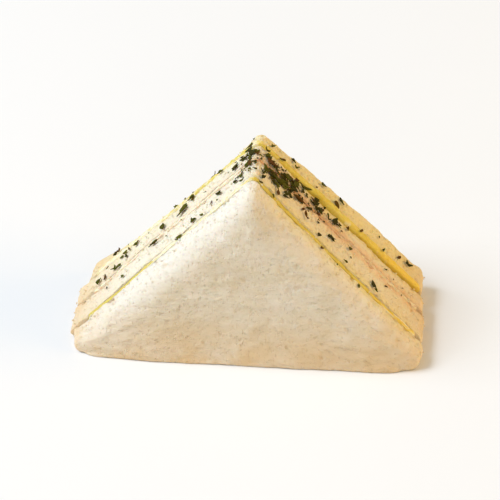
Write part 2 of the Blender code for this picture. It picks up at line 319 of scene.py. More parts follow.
def start_finish(name, roughness, depth, spread, amount):
    """A material with its shader set, and the piece's own place coordinates."""
    material = bpy.data.materials.new(name)
    material.use_nodes = True
    tree = material.node_tree
    shader = tree.nodes["Principled BSDF"]
    shader.inputs["Roughness"].default_value = roughness
    shader.inputs["Subsurface Weight"].default_value = amount
    shader.inputs["Subsurface Scale"].default_value = depth
    shader.inputs["Subsurface Radius"].default_value = spread
    return material, tree, shader, node(tree, "ShaderNodeTexCoord").outputs["Object"]


def read_mark(tree, name):
    """A value that was stored on the mesh."""
    return node(tree, "ShaderNodeAttribute", attribute_name=name).outputs["Fac"]


def raise_bump(tree, shader, height, distance):
    bump = node(tree, "ShaderNodeBump", {"Height": height, "Distance": distance})
    feed(tree, shader.inputs["Normal"], bump.outputs["Normal"])


print("finishes can read the marks that a mesh carries")

# %% [markdown]
# ## A fresh cut
# The inside of white bread is almost white. Where butter soaked in it is yellower, and a slice that
# took up none stays plain. The right cut is yellower still, partly from butter and partly as painted
# warm reflected light. Each slice could have a material of its own, but one mark for how plain it
# is, and how far right a point lies, say it all in one.

# %% A fresh cut
CUT_COLOUR = (0.90, 0.815, 0.61, 1)
WHITE_CUT_COLOUR = (0.91, 0.87, 0.80, 1)
BUTTER_AND_WARM_LIGHT_COLOUR = (0.90, 0.76, 0.49, 1)
RIGHT_FROM, RIGHT_TO = mm(-3, 9)


def on_right(tree, place, left=0.0):
    """1 on the right cut, and this share on the left one."""
    return ramp(tree, along(tree, place, 0), RIGHT_FROM, RIGHT_TO, left, 1.0)


def colour_cut(tree, place):
    """The colour of freshly cut bread: plain slices are whiter, and the right cut is yellower, partly from
    butter and partly as painted warm light.
    """
    plain, right = read_mark(tree, "plain"), on_right(tree, place)
    white = maths(tree, "MULTIPLY", plain, maths(tree, "SUBTRACT", 1.0, right))
    # Painted warm light: the right cut moves towards a yellow that stands partly for butter and partly for
    # warm reflected light
    butter_and_warm_light = maths(tree, "MULTIPLY", right, maths(tree, "SUBTRACT", 1.0, maths(tree, "POWER", plain, 2.0)))
    colour = mix_colours(tree, white, CUT_COLOUR, WHITE_CUT_COLOUR)
    return mix_colours(tree, butter_and_warm_light, colour, BUTTER_AND_WARM_LIGHT_COLOUR)


print("fresh cut", CUT_COLOUR[:3])

# %% [markdown]
# ## White bread
# A slice has two kinds of surface. Its face dries a little and is creamier than a cut. Both have
# pits, with painted shade inside. Near a filling the cut is soaked with butter or pink from the ham,
# and near the foot it is browner, partly because the crumb baked next to the crust that was trimmed
# off and partly as painted warm light reflected from below. The layers of colour go on in that
# order, each by its own mask.

# %% Face, cut and stains
FACE_COLOUR = (0.88, 0.80, 0.68, 1)
FACE_SHADE = (0.73, 0.63, 0.46, 1)
CLOUDS, STREAKS, FLECKS = 0.5, 0.3, 0.2
FRESHNESS = 0.9

# Each stain: the mark that says where it is, its colour, its most, and its share on the left cut
STAINS = (("butter", (0.88, 0.72, 0.28, 1), 0.6, 0.55), ("stain", (0.88, 0.56, 0.30, 1), 0.8, 0.2))

bread, tree, shader, place = start_finish("white_bread", 0.85, 0.7 * MM, (1.0, 0.62, 0.34), 0.25)
cut = read_mark(tree, "cut")
clouds = use(tree, MOTTLE, Place=place, Size=14 * MM, Contrast=0.22)
flecks = use(tree, MOTTLE, Place=place, Size=2.4 * MM, Contrast=0.3)
stretched = vector_maths(tree, "MULTIPLY", place, (0.25, 1.0, 1.6))
streaks = use(tree, MOTTLE, Place=stretched, Size=3.2 * MM, Contrast=0.25)
shade = weigh(tree, (clouds, CLOUDS), (streaks, STREAKS), (flecks, FLECKS))
colour = mix_colours(tree, shade, FACE_COLOUR, FACE_SHADE)
colour = mix_colours(tree, maths(tree, "MULTIPLY", cut, FRESHNESS), colour, colour_cut(tree, place))
for mark, tint, most, left in STAINS:
    uneven = maths(tree, "MULTIPLY_ADD", flecks, 0.5, maths(tree, "SUBTRACT", read_mark(tree, mark), 0.35))
    soaked = maths(tree, "MULTIPLY", ramp(tree, uneven, 0.1, 1.0), cut)
    soaked = maths(tree, "MULTIPLY", soaked, on_right(tree, place, left))
    colour = mix_colours(tree, maths(tree, "MULTIPLY", soaked, most), colour, tint)
print("bread face", FACE_COLOUR[:3], "with", len(STAINS), "stains on its cuts")

# %% Pits and the browner foot
PIT_SHADE_AND_GRAIN_COLOUR = (0.66, 0.50, 0.30, 1)
FOOT_BROWN_AND_WARM_LIGHT = (0.78, 0.50, 0.20, 1)
PIT_SHADE, FUZZ_SHADE, FOOT_SHADE = 0.42, 0.12, 0.75
FINE_PIT_SHADE, MORE_ON_CUT = 0.10, 0.16
BROWN_FROM, BROWN_TO = mm(22, -6)

# Painted shade: the pits pushed into the mesh are darkened inside
colour = mix_colours(tree, maths(tree, "MULTIPLY", read_mark(tree, "pit"), PIT_SHADE), colour, PIT_SHADE_AND_GRAIN_COLOUR)
fine_pits = use(tree, PITS, Place=place, Size=0.6 * MM, Fullness=0.8, Seed=4.0)
fuzz = use(tree, GRAIN, Place=place, Size=0.28 * MM)
open_share = maths(tree, "MULTIPLY_ADD", cut, MORE_ON_CUT, FINE_PIT_SHADE)
# Grain tone, with painted shade in the fine pits that the bump sinks
fine_shade = weigh(tree, (fuzz, FUZZ_SHADE), (fine_pits, open_share))
colour = mix_colours(tree, fine_shade, colour, PIT_SHADE_AND_GRAIN_COLOUR)
# Browner towards the foot: partly crumb that baked beside the trimmed crust, partly painted warm light
# reflected from below
brown_and_warm_light = ramp(tree, along(tree, place, 2), BROWN_FROM, BROWN_TO)
brown_and_warm_light = maths(tree, "MULTIPLY", brown_and_warm_light, ramp(tree, clouds, -0.7, 1.0))
colour = mix_colours(tree, maths(tree, "MULTIPLY", brown_and_warm_light, FOOT_SHADE), colour, FOOT_BROWN_AND_WARM_LIGHT)
feed(tree, shader.inputs["Base Color"], colour)
raise_bump(tree, shader, maths(tree, "MULTIPLY_ADD", fine_pits, -0.8, fuzz), 0.22 * MM)
print("bread browns from", round(1000 * BROWN_FROM), "mm down to its foot")

# %% [markdown]
# ## What the knife smeared
# A knife drags bread over cheese and ham, so a filling shows bare only in places, and in others it
# is darkened with painted shade, as if it lay in a groove too narrow to model. Loose scraps of bread
# could be modelled there, but they are thinner than a hair. A mark on the mesh says where a filling
# is bare instead, noise breaks the edge of it, and the rest takes the colour of a fresh cut.

# %% Smeared fillings
# Painted shade for a filling that seems to lie in a groove too narrow to model
PAINTED_GROOVE_SHADE = (0.42, 0.36, 0.17, 1)
STROKE_SIZE, STROKES = 1.3 * MM, 0.6
MOST_COVERED, DRYNESS = 0.94, 0.35


def smear(tree, shader, place, colour, roughness):
    """A filling's colour and roughness, with bread dragged over it wherever it isn't bare."""
    strokes = use(tree, MOTTLE, Place=place, Size=STROKE_SIZE, Contrast=0.3)
    bare = maths(tree, "SUBTRACT", read_mark(tree, "bare"), STROKES / 2)
    bare = maths(tree, "MULTIPLY_ADD", strokes, STROKES, bare)
    covered = ramp(tree, bare, 0.8, 0.2, 0.0, MOST_COVERED)
    # Painted shade: a filling is darkened where its mark says a groove would shade it
    colour = mix_colours(tree, read_mark(tree, "groove"), colour, PAINTED_GROOVE_SHADE)
    feed(tree, shader.inputs["Base Color"], mix_colours(tree, covered, colour, colour_cut(tree, place)))
    feed(tree, shader.inputs["Roughness"], maths(tree, "MULTIPLY_ADD", covered, DRYNESS, roughness))


print("strokes about", round(1000 * STROKE_SIZE, 1), "mm wide")

# %% [markdown]
# ## Sliced cheese
# Mild cheese is smooth, a little waxy and the same all through, so nearly all of its look is light
# going in and coming out yellow. Faint clouds and a fine grain from the slicing blade are enough.
# Towards the right tip it turns a deeper orange, which is painted warm light.

# %% Sliced cheese
CHEESE_COLOUR = (0.80, 0.665, 0.14, 1)
CHEESE_DEEP = (0.70, 0.515, 0.04, 1)
CHEESE_TIP_WARM_LIGHT = (0.90, 0.60, 0.05, 1)
TIP_FROM, TIP_TO, TIP_SHARE = 24 * MM, 46 * MM, 0.75

cheese, tree, shader, place = start_finish("sliced_cheese", 0.45, 1.2 * MM, (1.0, 0.66, 0.2), 0.35)
clouds = use(tree, MOTTLE, Place=place, Size=5 * MM, Contrast=0.2)
fine_clouds = use(tree, MOTTLE, Place=place, Size=1.0 * MM, Contrast=0.25)
colour = mix_colours(tree, weigh(tree, (clouds, 0.55), (fine_clouds, 0.45)), CHEESE_COLOUR, CHEESE_DEEP)
# Painted warm light: towards the right tip the cheese turns a deeper orange
tip_warm_light = ramp(tree, along(tree, place, 0), TIP_FROM, TIP_TO, 0.0, TIP_SHARE)
colour = mix_colours(tree, tip_warm_light, colour, CHEESE_TIP_WARM_LIGHT)
smear(tree, shader, place, colour, maths(tree, "MULTIPLY_ADD", fine_clouds, 0.2, 0.4))
raise_bump(tree, shader, use(tree, GRAIN, Place=place, Size=0.6 * MM), 0.14 * MM)
print("cheese", CHEESE_COLOUR[:3])

# %% [markdown]
# ## Cooked ham
# Ham is meat pressed together: pink muscle with paler seams of fat, a fine fibre and a moist shine.
# The fibres run along the slice, so the noise that draws them is stretched that way.

# %% Cooked ham
HAM_COLOUR = (0.80, 0.46, 0.235, 1)
HAM_DEEP = (0.64, 0.31, 0.13, 1)
HAM_FAT = (0.87, 0.65, 0.38, 1)
FAT_SHARE = 0.6

ham, tree, shader, place = start_finish("cooked_ham", 0.36, 1.2 * MM, (1.0, 0.4, 0.2), 0.35)
along_fibre = vector_maths(tree, "MULTIPLY", place, (0.4, 1.4, 0.4))
muscle = use(tree, MOTTLE, Place=along_fibre, Size=2.2 * MM, Contrast=0.2)
fat = ramp(tree, use(tree, MOTTLE, Place=along_fibre, Size=3.6 * MM, Contrast=0.06), 0.55, 1.0)
colour = mix_colours(tree, muscle, HAM_COLOUR, HAM_DEEP)
colour = mix_colours(tree, maths(tree, "MULTIPLY", fat, FAT_SHARE), colour, HAM_FAT)
smear(tree, shader, place, colour, maths(tree, "MULTIPLY_ADD", muscle, 0.2, 0.3))
holes = use(tree, PITS, Place=place, Size=0.9 * MM, Fullness=0.5, Seed=9.0)
fibre = use(tree, GRAIN, Place=along_fibre, Size=0.5 * MM)
raise_bump(tree, shader, maths(tree, "MULTIPLY_ADD", holes, -0.5, fibre), 0.14 * MM)
print("ham", HAM_COLOUR[:3])

# %% [markdown]
# ## Chopped parsley
# Chopped leaves bruise, so a handful of scraps goes from fresh green to nearly brown, here more so
# on the right. One colour for all would look like paint. Every scrap carries a tone of its own,
# which is stored when the scraps are strewn, and the finish turns it into a colour.

# %% Chopped parsley
LEAF_FRESH = (0.110, 0.108, 0.008, 1)
LEAF_DARK = (0.042, 0.037, 0.004, 1)
LEAF_BROWN = (0.120, 0.044, 0.008, 1)
BRUISED_FROM, BRUISED_TO, BRUISED_MORE = 6 * MM, 20 * MM, 0.2

parsley, tree, shader, place = start_finish("chopped_parsley", 0.7, 0.5 * MM, (0.6, 1.0, 0.2), 0.08)
shader.inputs["Specular IOR Level"].default_value = 0.08
tone = read_mark(tree, "tone")
colour = mix_colours(tree, ramp(tree, tone, 0.25, 0.75), LEAF_DARK, LEAF_FRESH)
more = ramp(tree, along(tree, place, 0), BRUISED_FROM, BRUISED_TO, 0.0, BRUISED_MORE)
bruised = ramp(tree, maths(tree, "ADD", tone, more), 0.78, 0.9)
colour = mix_colours(tree, bruised, colour, LEAF_BROWN)
spots = use(tree, MOTTLE, Place=place, Size=0.5 * MM, Contrast=0.25)
colour = mix_colours(tree, maths(tree, "MULTIPLY", spots, 0.45), colour, LEAF_DARK)
feed(tree, shader.inputs["Base Color"], colour)
feed(tree, shader.inputs["Roughness"], maths(tree, "MULTIPLY_ADD", spots, 0.25, 0.6))
raise_bump(tree, shader, use(tree, GRAIN, Place=place, Size=0.25 * MM), 0.06 * MM)
print("parsley", LEAF_FRESH[:3])

# %% [markdown]
# ## The floor
# The sandwich stands on something plain and pale, so that nothing competes with it. It is a large
# sheet with the faintest unevenness, and it isn't part of the sandwich.

# %% Floor
TABLE_COLOURS = (0.89, 0.91, 0.955, 1), (0.90, 0.92, 0.965, 1)

bpy.ops.mesh.primitive_plane_add(size=6)
floor = bpy.context.object
floor.name = "floor"
floor_finish, tree, shader, place = start_finish("pale_table", 0.6, 1 * MM, (1, 1, 1), 0.0)
unevenness = use(tree, MOTTLE, Place=place, Size=120 * MM, Contrast=0.4)
feed(tree, shader.inputs["Base Color"], mix_colours(tree, unevenness, *TABLE_COLOURS))
floor.data.materials.append(floor_finish)
print("floor is", floor.dimensions.x, "m wide")

# %% [markdown]
# ## The triangle
# A square slice cut on both diagonals gives four triangles with a right angle at the point. The
# outline is walked once round, from the left tip over the point to the right tip and back along the
# foot, in steps short enough to carry the crumb. Each step also knows how far it belongs to the
# foot, where the loaf was trimmed and nothing was cut later.

# %% Triangle
WIDTH = 112 * MM
HEIGHT = WIDTH / 2
POINT_RADIUS = 2.2 * MM
POINT_ANGLE, TIP_ANGLE = math.radians(90), math.radians(45)
HALF_DIAGONAL = math.sqrt(0.5)
INRADIUS = WIDTH * HEIGHT / (WIDTH + 2 * HEIGHT / HALF_DIAGONAL)
SHARE_REACH = 6 * MM


def walk_outline(tips, cut_steps, foot_steps, corner_steps=16):
    """The rounded triangle as (x, z, share of foot), with tips as the radii of its two tips."""
    corners = (
        (Vector((-WIDTH / 2, 0)), tips[0], TIP_ANGLE, 0.5, cut_steps, 0.0),
        (Vector((0, HEIGHT)), POINT_RADIUS, POINT_ANGLE, 0.0, cut_steps, 0.0),
        (Vector((WIDTH / 2, 0)), tips[1], TIP_ANGLE, 0.5, foot_steps, 1.0),
    )
    arcs = []
    for corner, radius, angle, *_ in corners:
        outward = (corner - Vector((0, INRADIUS))).normalized()
        middle = corner - outward * radius / math.sin(angle / 2)
        sweep = math.pi - angle
        turns = [sweep * (0.5 - step / corner_steps) for step in range(corner_steps + 1)]
        arcs.append([middle + Matrix.Rotation(turn, 2) @ outward * radius for turn in turns])
    points = []
    for index, (*_, at_corner, steps, on_side) in enumerate(corners):
        points += [(spot.x, spot.y, at_corner) for spot in arcs[index]]
        start, end = arcs[index][-1], arcs[(index + 1) % 3][0]
        at_end = corners[(index + 1) % 3][3]
        for step in range(1, steps):
            spot = start.lerp(end, step / steps)
            share = mix(at_corner, on_side, min((spot - start).length / SHARE_REACH, 1))
            share += (at_end - on_side) * max(1 - (spot - end).length / SHARE_REACH, 0)
            points.append((spot.x, spot.y, share))
    return points


print("steps round an outer slice:", len(walk_outline(mm(2, 4), 272, 352)))

# %% [markdown]
# ## Where the layers lie
# A stack that has been cut and stood on edge leans back and fans out a little. Each filling is a
# seam: a depth at the point, another at the foot, a bend between them and one slow wave. The bread
# fills what is left between the seams. Under the fillings, near the foot, the slices close up, and
# at the right tip the rear slice has opened away from the one before it. A stack of flat boxes
# would need every gap fitted by hand. Here a gap can't go wrong, as both its sides read one seam.

# %% Seams
Seam = namedtuple("Seam", "point foot bow thick wave turn")
SEAMS = {
    "cheese_front": Seam(-0.3 * MM, -9.4 * MM, 0.8, 2.2 * MM, 0.30 * MM, 0.6),
    "ham": Seam(8.8 * MM, 2.6 * MM, 1.2, 1.7 * MM, 0.35 * MM, 2.1),
    "cheese_rear": Seam(17.5 * MM, 12.0 * MM, 0.9, 2.4 * MM, 0.30 * MM, 3.9),
}
BETWEEN = {
    "bread_front": (None, "cheese_front"),
    "bread_middle_front": ("cheese_front", "ham"),
    "bread_middle_rear": ("ham", "cheese_rear"),
    "bread_rear": ("cheese_rear", None),
}
WAVE_LENGTH, WAVE_FROM = 76 * MM, 12 * MM
CLOSE_FROM, CLOSE_TO = 2.4 * MM, 6.2 * MM
TOUCH = 0.06 * MM
PARTED = "cheese_rear"
PARTING, PARTING_FROM, PARTING_TO, PARTING_HEIGHT = mm(1.2, 14, 50, 40)


def find_seam(name, x, z):
    """The depth of the middle of a filling's space."""
    seam = SEAMS[name]
    down = max(1 - z / HEIGHT, 0.0)
    wave = seam.wave * math.sin(math.tau * (x + z) / WAVE_LENGTH + seam.turn)
    return mix(seam.point, seam.foot, down**seam.bow) + wave * smooth((HEIGHT - z) / WAVE_FROM)


def half_seam(name, z):
    """Half of that space, which is nearly closed at the foot."""
    half = SEAMS[name].thick / 2 + TOUCH
    return mix(TOUCH / 2, half, smooth((z - CLOSE_FROM) / (CLOSE_TO - CLOSE_FROM)))


def opened(name, x, z):
    """How far what lies behind a seam has opened away from what lies before it."""
    if name != PARTED:
        return 0.0
    across = smooth((x - PARTING_FROM) / (PARTING_TO - PARTING_FROM))
    return PARTING * across * smooth(1 - z / PARTING_HEIGHT)


print("fillings:", ", ".join(f"{name} {1000 * seam.thick:.1f} mm" for name, seam in SEAMS.items()))

# %% [markdown]
# ## The cut edges
# A knife drags soft layers with it, so no two layers end in quite the same place. For each layer
# this table says how far its cut is drawn back, how far it bulges to the right and how its edges
# roll over, each at its front and at its rear. Then come how round its two tips are, how high above
# the foot a filling stops, and a seed for its unevenness. The rear cheese is pushed the other way
# on the left cut, so it has bulges of its own there. Ham tears, so its edge is the most ragged one.

# %% Rims
Rim = namedtuple("Rim", "trims bulges rolls tips stop seed")
RIMS = {
    "bread_front": Rim(mm(0.6, 0.1), mm(0, -0.5), mm(4.8, 0.3), mm(2.2, 3.4), 0, 3),
    "bread_middle_front": Rim(mm(0.1, 0), mm(-0.5, 0), mm(0.25, 0.3), mm(1.5, 3.8), 0, 8),
    "bread_middle_rear": Rim(mm(0, 0), mm(0, -0.6), mm(0.3, 0.4), mm(1.8, 4.2), 0, 5),
    "bread_rear": Rim(mm(0.4, 0.6), mm(0.7, 3.0), mm(0.4, 4.0), mm(3.0, 4.6), 0, 6),
    "cheese_front": Rim(mm(0.2, 0.2), mm(-0.4, -0.4), mm(0.2, 0.2), mm(1.6, 1.6), 5.4 * MM, 2),
    "ham": Rim(mm(0.05, 0.05), mm(0, 0), mm(0.25, 0.25), mm(1.6, 1.6), 5.8 * MM, 4),
    "cheese_rear": Rim(mm(0, 0), mm(1.2, 1.3), mm(0.7, 0.35), mm(1.6, 1.6), 5.8 * MM, 7),
}
LEFT_BULGES = {"cheese_rear": mm(-0.55, -0.4)}
FOOT_ROLL = 0.7 * MM
SOFTNESS = 1.5
CUT_WAVE, CUT_WAVE_SIZE = 0.35 * MM, 13 * MM
TEARS = {"ham": mm(0.3, 2.6), "cheese_front": mm(0.14, 3.5), "cheese_rear": mm(0.14, 3.5)}
NO_TEAR = mm(0, 1)


def on_rim(name, x, z, through, foot=0.0):
    """A point of the whole triangle, moved to where a layer has it, from its front (0) to its rear (1)."""
    rim = RIMS[name]
    wave = noise.noise(Vector((x, z, rim.seed * CUT_WAVE_SIZE)) / CUT_WAVE_SIZE)
    tear, tear_size = TEARS.get(name, NO_TEAR)
    torn = noise.noise(Vector((x, z, rim.seed * tear_size)) / tear_size)
    back = mix(*rim.trims, through) - (CUT_WAVE * wave + tear * torn) * (1 - foot)
    scale = 1 - (rim.stop + back / HALF_DIAGONAL) / HEIGHT
    x, z = x * scale, rim.stop + z * scale
    bulges = LEFT_BULGES.get(name, rim.bulges) if x < 0 else rim.bulges
    return x + mix(*bulges, through) * math.sin(math.pi * (1 - z / HEIGHT)), z


def fall(inset, radius):
    """How far a rounded edge of this depth has fallen back, this far in from the rim."""
    left = 1 - inset / (radius * SOFTNESS)
    return radius - radius * math.sqrt(1 - left**2) if left > 0 else 0.0


print("layers:", ", ".join(RIMS))

# %% [markdown]
# ## The faces
# The outsides of soft bread swell like a cushion and keep shallow dents from the fingers that
# pressed the stack together. Two sizes of smooth noise make the dents. All the other faces follow
# the seams, so each layer's front and rear are one rule each, and no face is drawn by hand.

# %% Faces
FRONT_POINT, FRONT_FOOT = -9.2 * MM, -18.2 * MM
REAR_POINT, REAR_FOOT = 25.4 * MM, 23.8 * MM
SWELL, SWELL_REACH = 1.3 * MM, 20 * MM
DENT, DENT_SIZE = 0.45 * MM, 17 * MM
DIMPLE, DIMPLE_SIZE = 0.12 * MM, 5 * MM


def swell(seed, x, z):
    inside = max(HEIGHT - z - abs(x), 0.0) * HALF_DIAGONAL
    dents = DENT * noise.noise(Vector((x, seed * DENT_SIZE, z)) / DENT_SIZE)
    dimples = DIMPLE * noise.noise(Vector((x, seed * DIMPLE_SIZE, z)) / DIMPLE_SIZE)
    return (SWELL + dents) * (1 - max(1 - inside / SWELL_REACH, 0) ** 2) + dimples


def front_depth(name, x, z):
    """The depth of a layer's front face."""
    if name in SEAMS:
        return find_seam(name, x, z) + opened(name, x, z) - SEAMS[name].thick / 2
    seam = BETWEEN[name][0]
    if seam is None:
        return mix(FRONT_POINT, FRONT_FOOT, 1 - z / HEIGHT) - swell(RIMS[name].seed, x, z)
    return find_seam(seam, x, z) + half_seam(seam, z) + opened(seam, x, z)


def rear_depth(name, x, z):
    """The depth of a layer's rear face."""
    if name in SEAMS:
        return find_seam(name, x, z) + opened(name, x, z) + SEAMS[name].thick / 2
    seam = BETWEEN[name][1]
    if seam is None:
        flat = mix(REAR_POINT, REAR_FOOT, 1 - z / HEIGHT)
        return flat + swell(RIMS[name].seed, x, z) + opened(PARTED, x, z)
    return find_seam(seam, x, z) - half_seam(seam, z)


def is_outside(name, through):
    """Whether a layer's front (0) or rear (1) face is one of the sandwich's two outer faces."""
    return name in BETWEEN and BETWEEN[name][through] is None


print("stack is about", round(1000 * (REAR_FOOT - FRONT_FOOT)), "mm deep at its foot")

# %% [markdown]
# ## Where herbs fell
# Herbs lie thinly everywhere on the cuts, and thickly in a patch right of the point. They could be
# painted on by hand, but a few soft round patches, each with a place on the cut and a size, give
# the same look and are easy to move. This works out how thickly herbs lie on any spot.

# %% Where herbs fell
Patch = namedtuple("Patch", "side along length depth spread share")
PATCHES = (
    Patch(1, 10 * MM, 5.5 * MM, 8.5 * MM, 2.5 * MM, 0.8),
    Patch(1, 22 * MM, 7 * MM, 8 * MM, 2.7 * MM, 0.35),
    Patch(-1, 1 * MM, 5 * MM, 9 * MM, 4.5 * MM, 0.28),
)
EVEN_SHARE = 0.012


def herb_share(x, z, depth):
    """How thickly herbs lie here, from 0 to 1."""
    along = (HEIGHT - z) / HALF_DIAGONAL
    most = EVEN_SHARE
    for patch in PATCHES:
        if patch.side * x > 0:
            away = ((along - patch.along) / patch.length) ** 2 + ((depth - patch.depth) / patch.spread) ** 2
            most = max(most, patch.share * math.exp(-away / 2))
    return most


print("herbs at the heart of the patch:", round(herb_share(8.5 * MM, 47.5 * MM, 9 * MM), 2))

# %% [markdown]
# ## Where a filling shows
# The knife left each filling bare in some stretches of a cut and smeared in others. The table walks
# down each cut from the point, and says at each stop, in millimetres, how much of the filling's
# thickness shows and how bare that is. Between two stops the values are mixed, and noise makes the
# edges ragged. On three of the cuts the filling is also darkened with painted shade, as if it lay in
# a shallow groove.

# %% Where a filling shows
SHOWING = {
    ("cheese_front", 1): ((0, 1.1, 1), (30, 1.0, 1), (58, 0.9, 0.9), (74, 0.6, 0.5)),
    ("cheese_front", -1): (
        (0, 1, 0.7), (6, 0.6, 0.4), (36, 0.6, 0.4), (46, 1, 0.9), (66, 1, 0.95), (74, 1, 0.7),
    ),
    ("ham", 1): ((0, 1.4, 1), (30, 1.4, 0.95), (42, 1.0, 0.55), (74, 0.9, 0.45)),
    ("ham", -1): ((0, 1.2, 0.7), (8, 1, 0.35), (40, 1, 0.3), (74, 1, 0.4)),
    ("cheese_rear", 1): ((0, 1.05, 0.4), (6, 1.05, 0.92), (36, 1.1, 0.88), (74, 1.3, 0.94)),
    ("cheese_rear", -1): ((0, 1.3, 0.4), (7, 1.2, 0.7), (24, 1.2, 0.65), (34, 1, 0.5), (46, 0.9, 0.35)),
}
# Painted groove shade: the cuts where a filling is darkened, how much, and how far down it is full
GROOVE_SHADED_CUTS, GROOVE_SHADE, GROOVE_SHADE_FULL = {("cheese_front", -1), ("ham", 1), ("cheese_rear", -1)}, 0.15, 10
RAGGED, RAGGED_SIZE, RAGGED_FADE = 0.4, 3.5 * MM, 0.3


def follow(stops, place):
    """What a list of (place, values) has at a place between two of them."""
    for (start, *first), (end, *last) in zip(stops, stops[1:]):
        if place < end:
            share = max((place - start) / (end - start), 0.0)
            return [mix(*pair, share) for pair in zip(first, last)]
    return stops[-1][1:]


def show_bare(name, x, z, through):
    """How bare a filling is at a spot on its cut, and how much painted groove shade darkens it."""
    if name not in SEAMS:
        return 0.0, 0.0
    side = 1 if x > 0 else -1
    down = (HEIGHT - z) / HALF_DIAGONAL / MM
    width, bare = follow(SHOWING[(name, side)], down)
    edge = RIMS[name].seed + round(through)
    width += RAGGED * noise.noise(Vector((x, z, edge * RAGGED_SIZE)) / RAGGED_SIZE)
    bare *= smooth((width - abs(2 * through - 1)) / RAGGED_FADE)
    return bare, GROOVE_SHADE * smooth(down / GROOVE_SHADE_FULL) if (name, side) in GROOVE_SHADED_CUTS else 0.0


print("the front cheese, 50 mm down the left cut:", follow(SHOWING["cheese_front", -1], 50))

# %% [markdown]
# ## How far butter and ham soak in
# Bread is buttery close to cheese and pink close to ham, both fading within a few millimetres. The
# front slice took up little, and least on the left cut. The rear one is buttery all through.

# %% Soaked bread
SOAK = 4.2 * MM
PLAIN = {"bread_front": 0.9, "bread_middle_front": 0.45, "bread_middle_rear": 0.25}
BUTTERY = {"bread_rear": 0.95}
TOUCHING = {name: [seam and seam.split("_")[0] for seam in seams] for name, seams in BETWEEN.items()}


def soak(name, x, near):
    """How buttery and how pink bread is, from how near its front and its rear face are."""
    touching = list(zip(TOUCHING.get(name, ()), near))
    butter = max([share for kind, share in touching if kind == "cheese"], default=0.0)
    stain = max([share for kind, share in touching if kind == "ham"], default=0.0)
    dry_left = PLAIN.get(name, 0.0) * (1 - smooth((x - RIGHT_FROM) / (RIGHT_TO - RIGHT_FROM)))
    return max(butter, BUTTERY.get(name, 0.0)) * (1 - dry_left), stain


print("slices touch", TOUCHING)

# %% [markdown]
# ## Marks
# A finish can't know what a point is, so every point of a layer carries nine marks, from 0 to 1:
# how open the crumb is, how much the point belongs to a cut, how thickly herbs and crumbs lie on
# it, how bare a filling is and how much painted groove shade it gets, and how plain, buttery or pink
# the bread. Vertex paint would hold them too, but these come from the same rules as the shape, so
# they can't drift apart.

# %% Marks
Marks = namedtuple("Marks", "open cut herbs bare groove crumbs plain butter stain", defaults=[0.0] * 9)
FACE_OPEN, FOOT_OPEN = 0.5, 0.25
CUT_FADE = 1.4 * MM
# Where the cut mark spreads over the left front roll and paints a highlight there
HIGHLIGHT_ROLL_FROM, HIGHLIGHT_ROLL_TO = mm(-6, 3)
FACE_EDGE = 0.15
CRUMBS_ON_BARE = 0.5


def open_cut(name, foot):
    """How open the crumb is on a cut. The foot was trimmed before and is nearly closed."""
    return mix(1.0, FOOT_OPEN if name in BETWEEN else 0.0, smooth(foot))


def mark_face(name, x, z, foot, inset, through):
    """The marks of a point on a face, this far in from its rim. On the left the cut mark spreads over the
    front roll as a painted highlight.
    """
    open_face = FACE_OPEN if is_outside(name, through) else 0.0
    # Painted highlight: on the left the front roll takes the paler colour of a cut
    white = (1 - through) * (1 - smooth((x - HIGHLIGHT_ROLL_FROM) / (HIGHLIGHT_ROLL_TO - HIGHLIGHT_ROLL_FROM)))
    fade = mix(CUT_FADE, max(CUT_FADE, RIMS[name].rolls[through] * SOFTNESS), white)
    bare, groove = show_bare(name, x, z, mix(FACE_EDGE, 1 - FACE_EDGE, through))
    butter, stain = soak(name, x, (1 - through, through))
    return Marks(
        open=mix(open_cut(name, foot), open_face, smooth(inset / CUT_FADE)),
        cut=(1 - smooth(inset / fade)) * (1 - smooth(foot)),
        bare=bare,
        groove=groove,
        plain=PLAIN.get(name, 0.0),
        butter=butter,
        stain=stain,
    )


def mark_cut(name, spot, foot, near, through):
    """The marks of a point on a cut or on the foot."""
    cut = 1 - smooth(foot)
    herbs = herb_share(spot.x, spot.z, spot.y) if foot == 0 else 0.0
    bare, groove = show_bare(name, spot.x, spot.z, through)
    crumbs = cut * (1 - CRUMBS_ON_BARE * bare)
    soaked = soak(name, spot.x, near)
    return Marks(open_cut(name, foot), cut, herbs, bare, groove, crumbs, PLAIN.get(name, 0.0), *soaked)


print("marks:", ", ".join(Marks._fields))

# %% [markdown]
# ## Rings and stitches
# A layer could be cut from a block, but the crumb needs small, even faces exactly where they show.
# So each layer is woven from rings: one on each step across the cut, and then ever smaller ones on
# both faces. Where the rings get short, every second point is dropped, which keeps the faces about
# the same size all the way to the middle. Hidden faces get few rings.

# %% Rings and stitches
FINE = 0.3 * MM
HIDDEN_RINGS = mm(1.2, 2.4, 4, 8, 13, 18)
COARSEST, FEWEST_TURNS = 16, 3


def plan_rings(roll, shown):
    """Rings on one face, from the rim inwards, as (inset, every how many points)."""
    reach = roll * SOFTNESS
    turns = max(round(math.pi / 2 * (roll + reach) / 2 / FINE), FEWEST_TURNS)
    rings = [(reach * (1 - math.cos(math.pi / 2 * turn / turns)), 1) for turn in range(turns + 1)]
    if not shown:
        return rings + [(inset, min(2 ** (step + 1), COARSEST)) for step, inset in enumerate(HIDDEN_RINGS)]
    inset = reach + FINE
    while inset < INRADIUS - 2 * FINE:
        left = 1 - inset / INRADIUS
        rings.append((inset, min(2 ** int(math.log2(1 / left)), COARSEST)))
        inset += FINE
    return rings


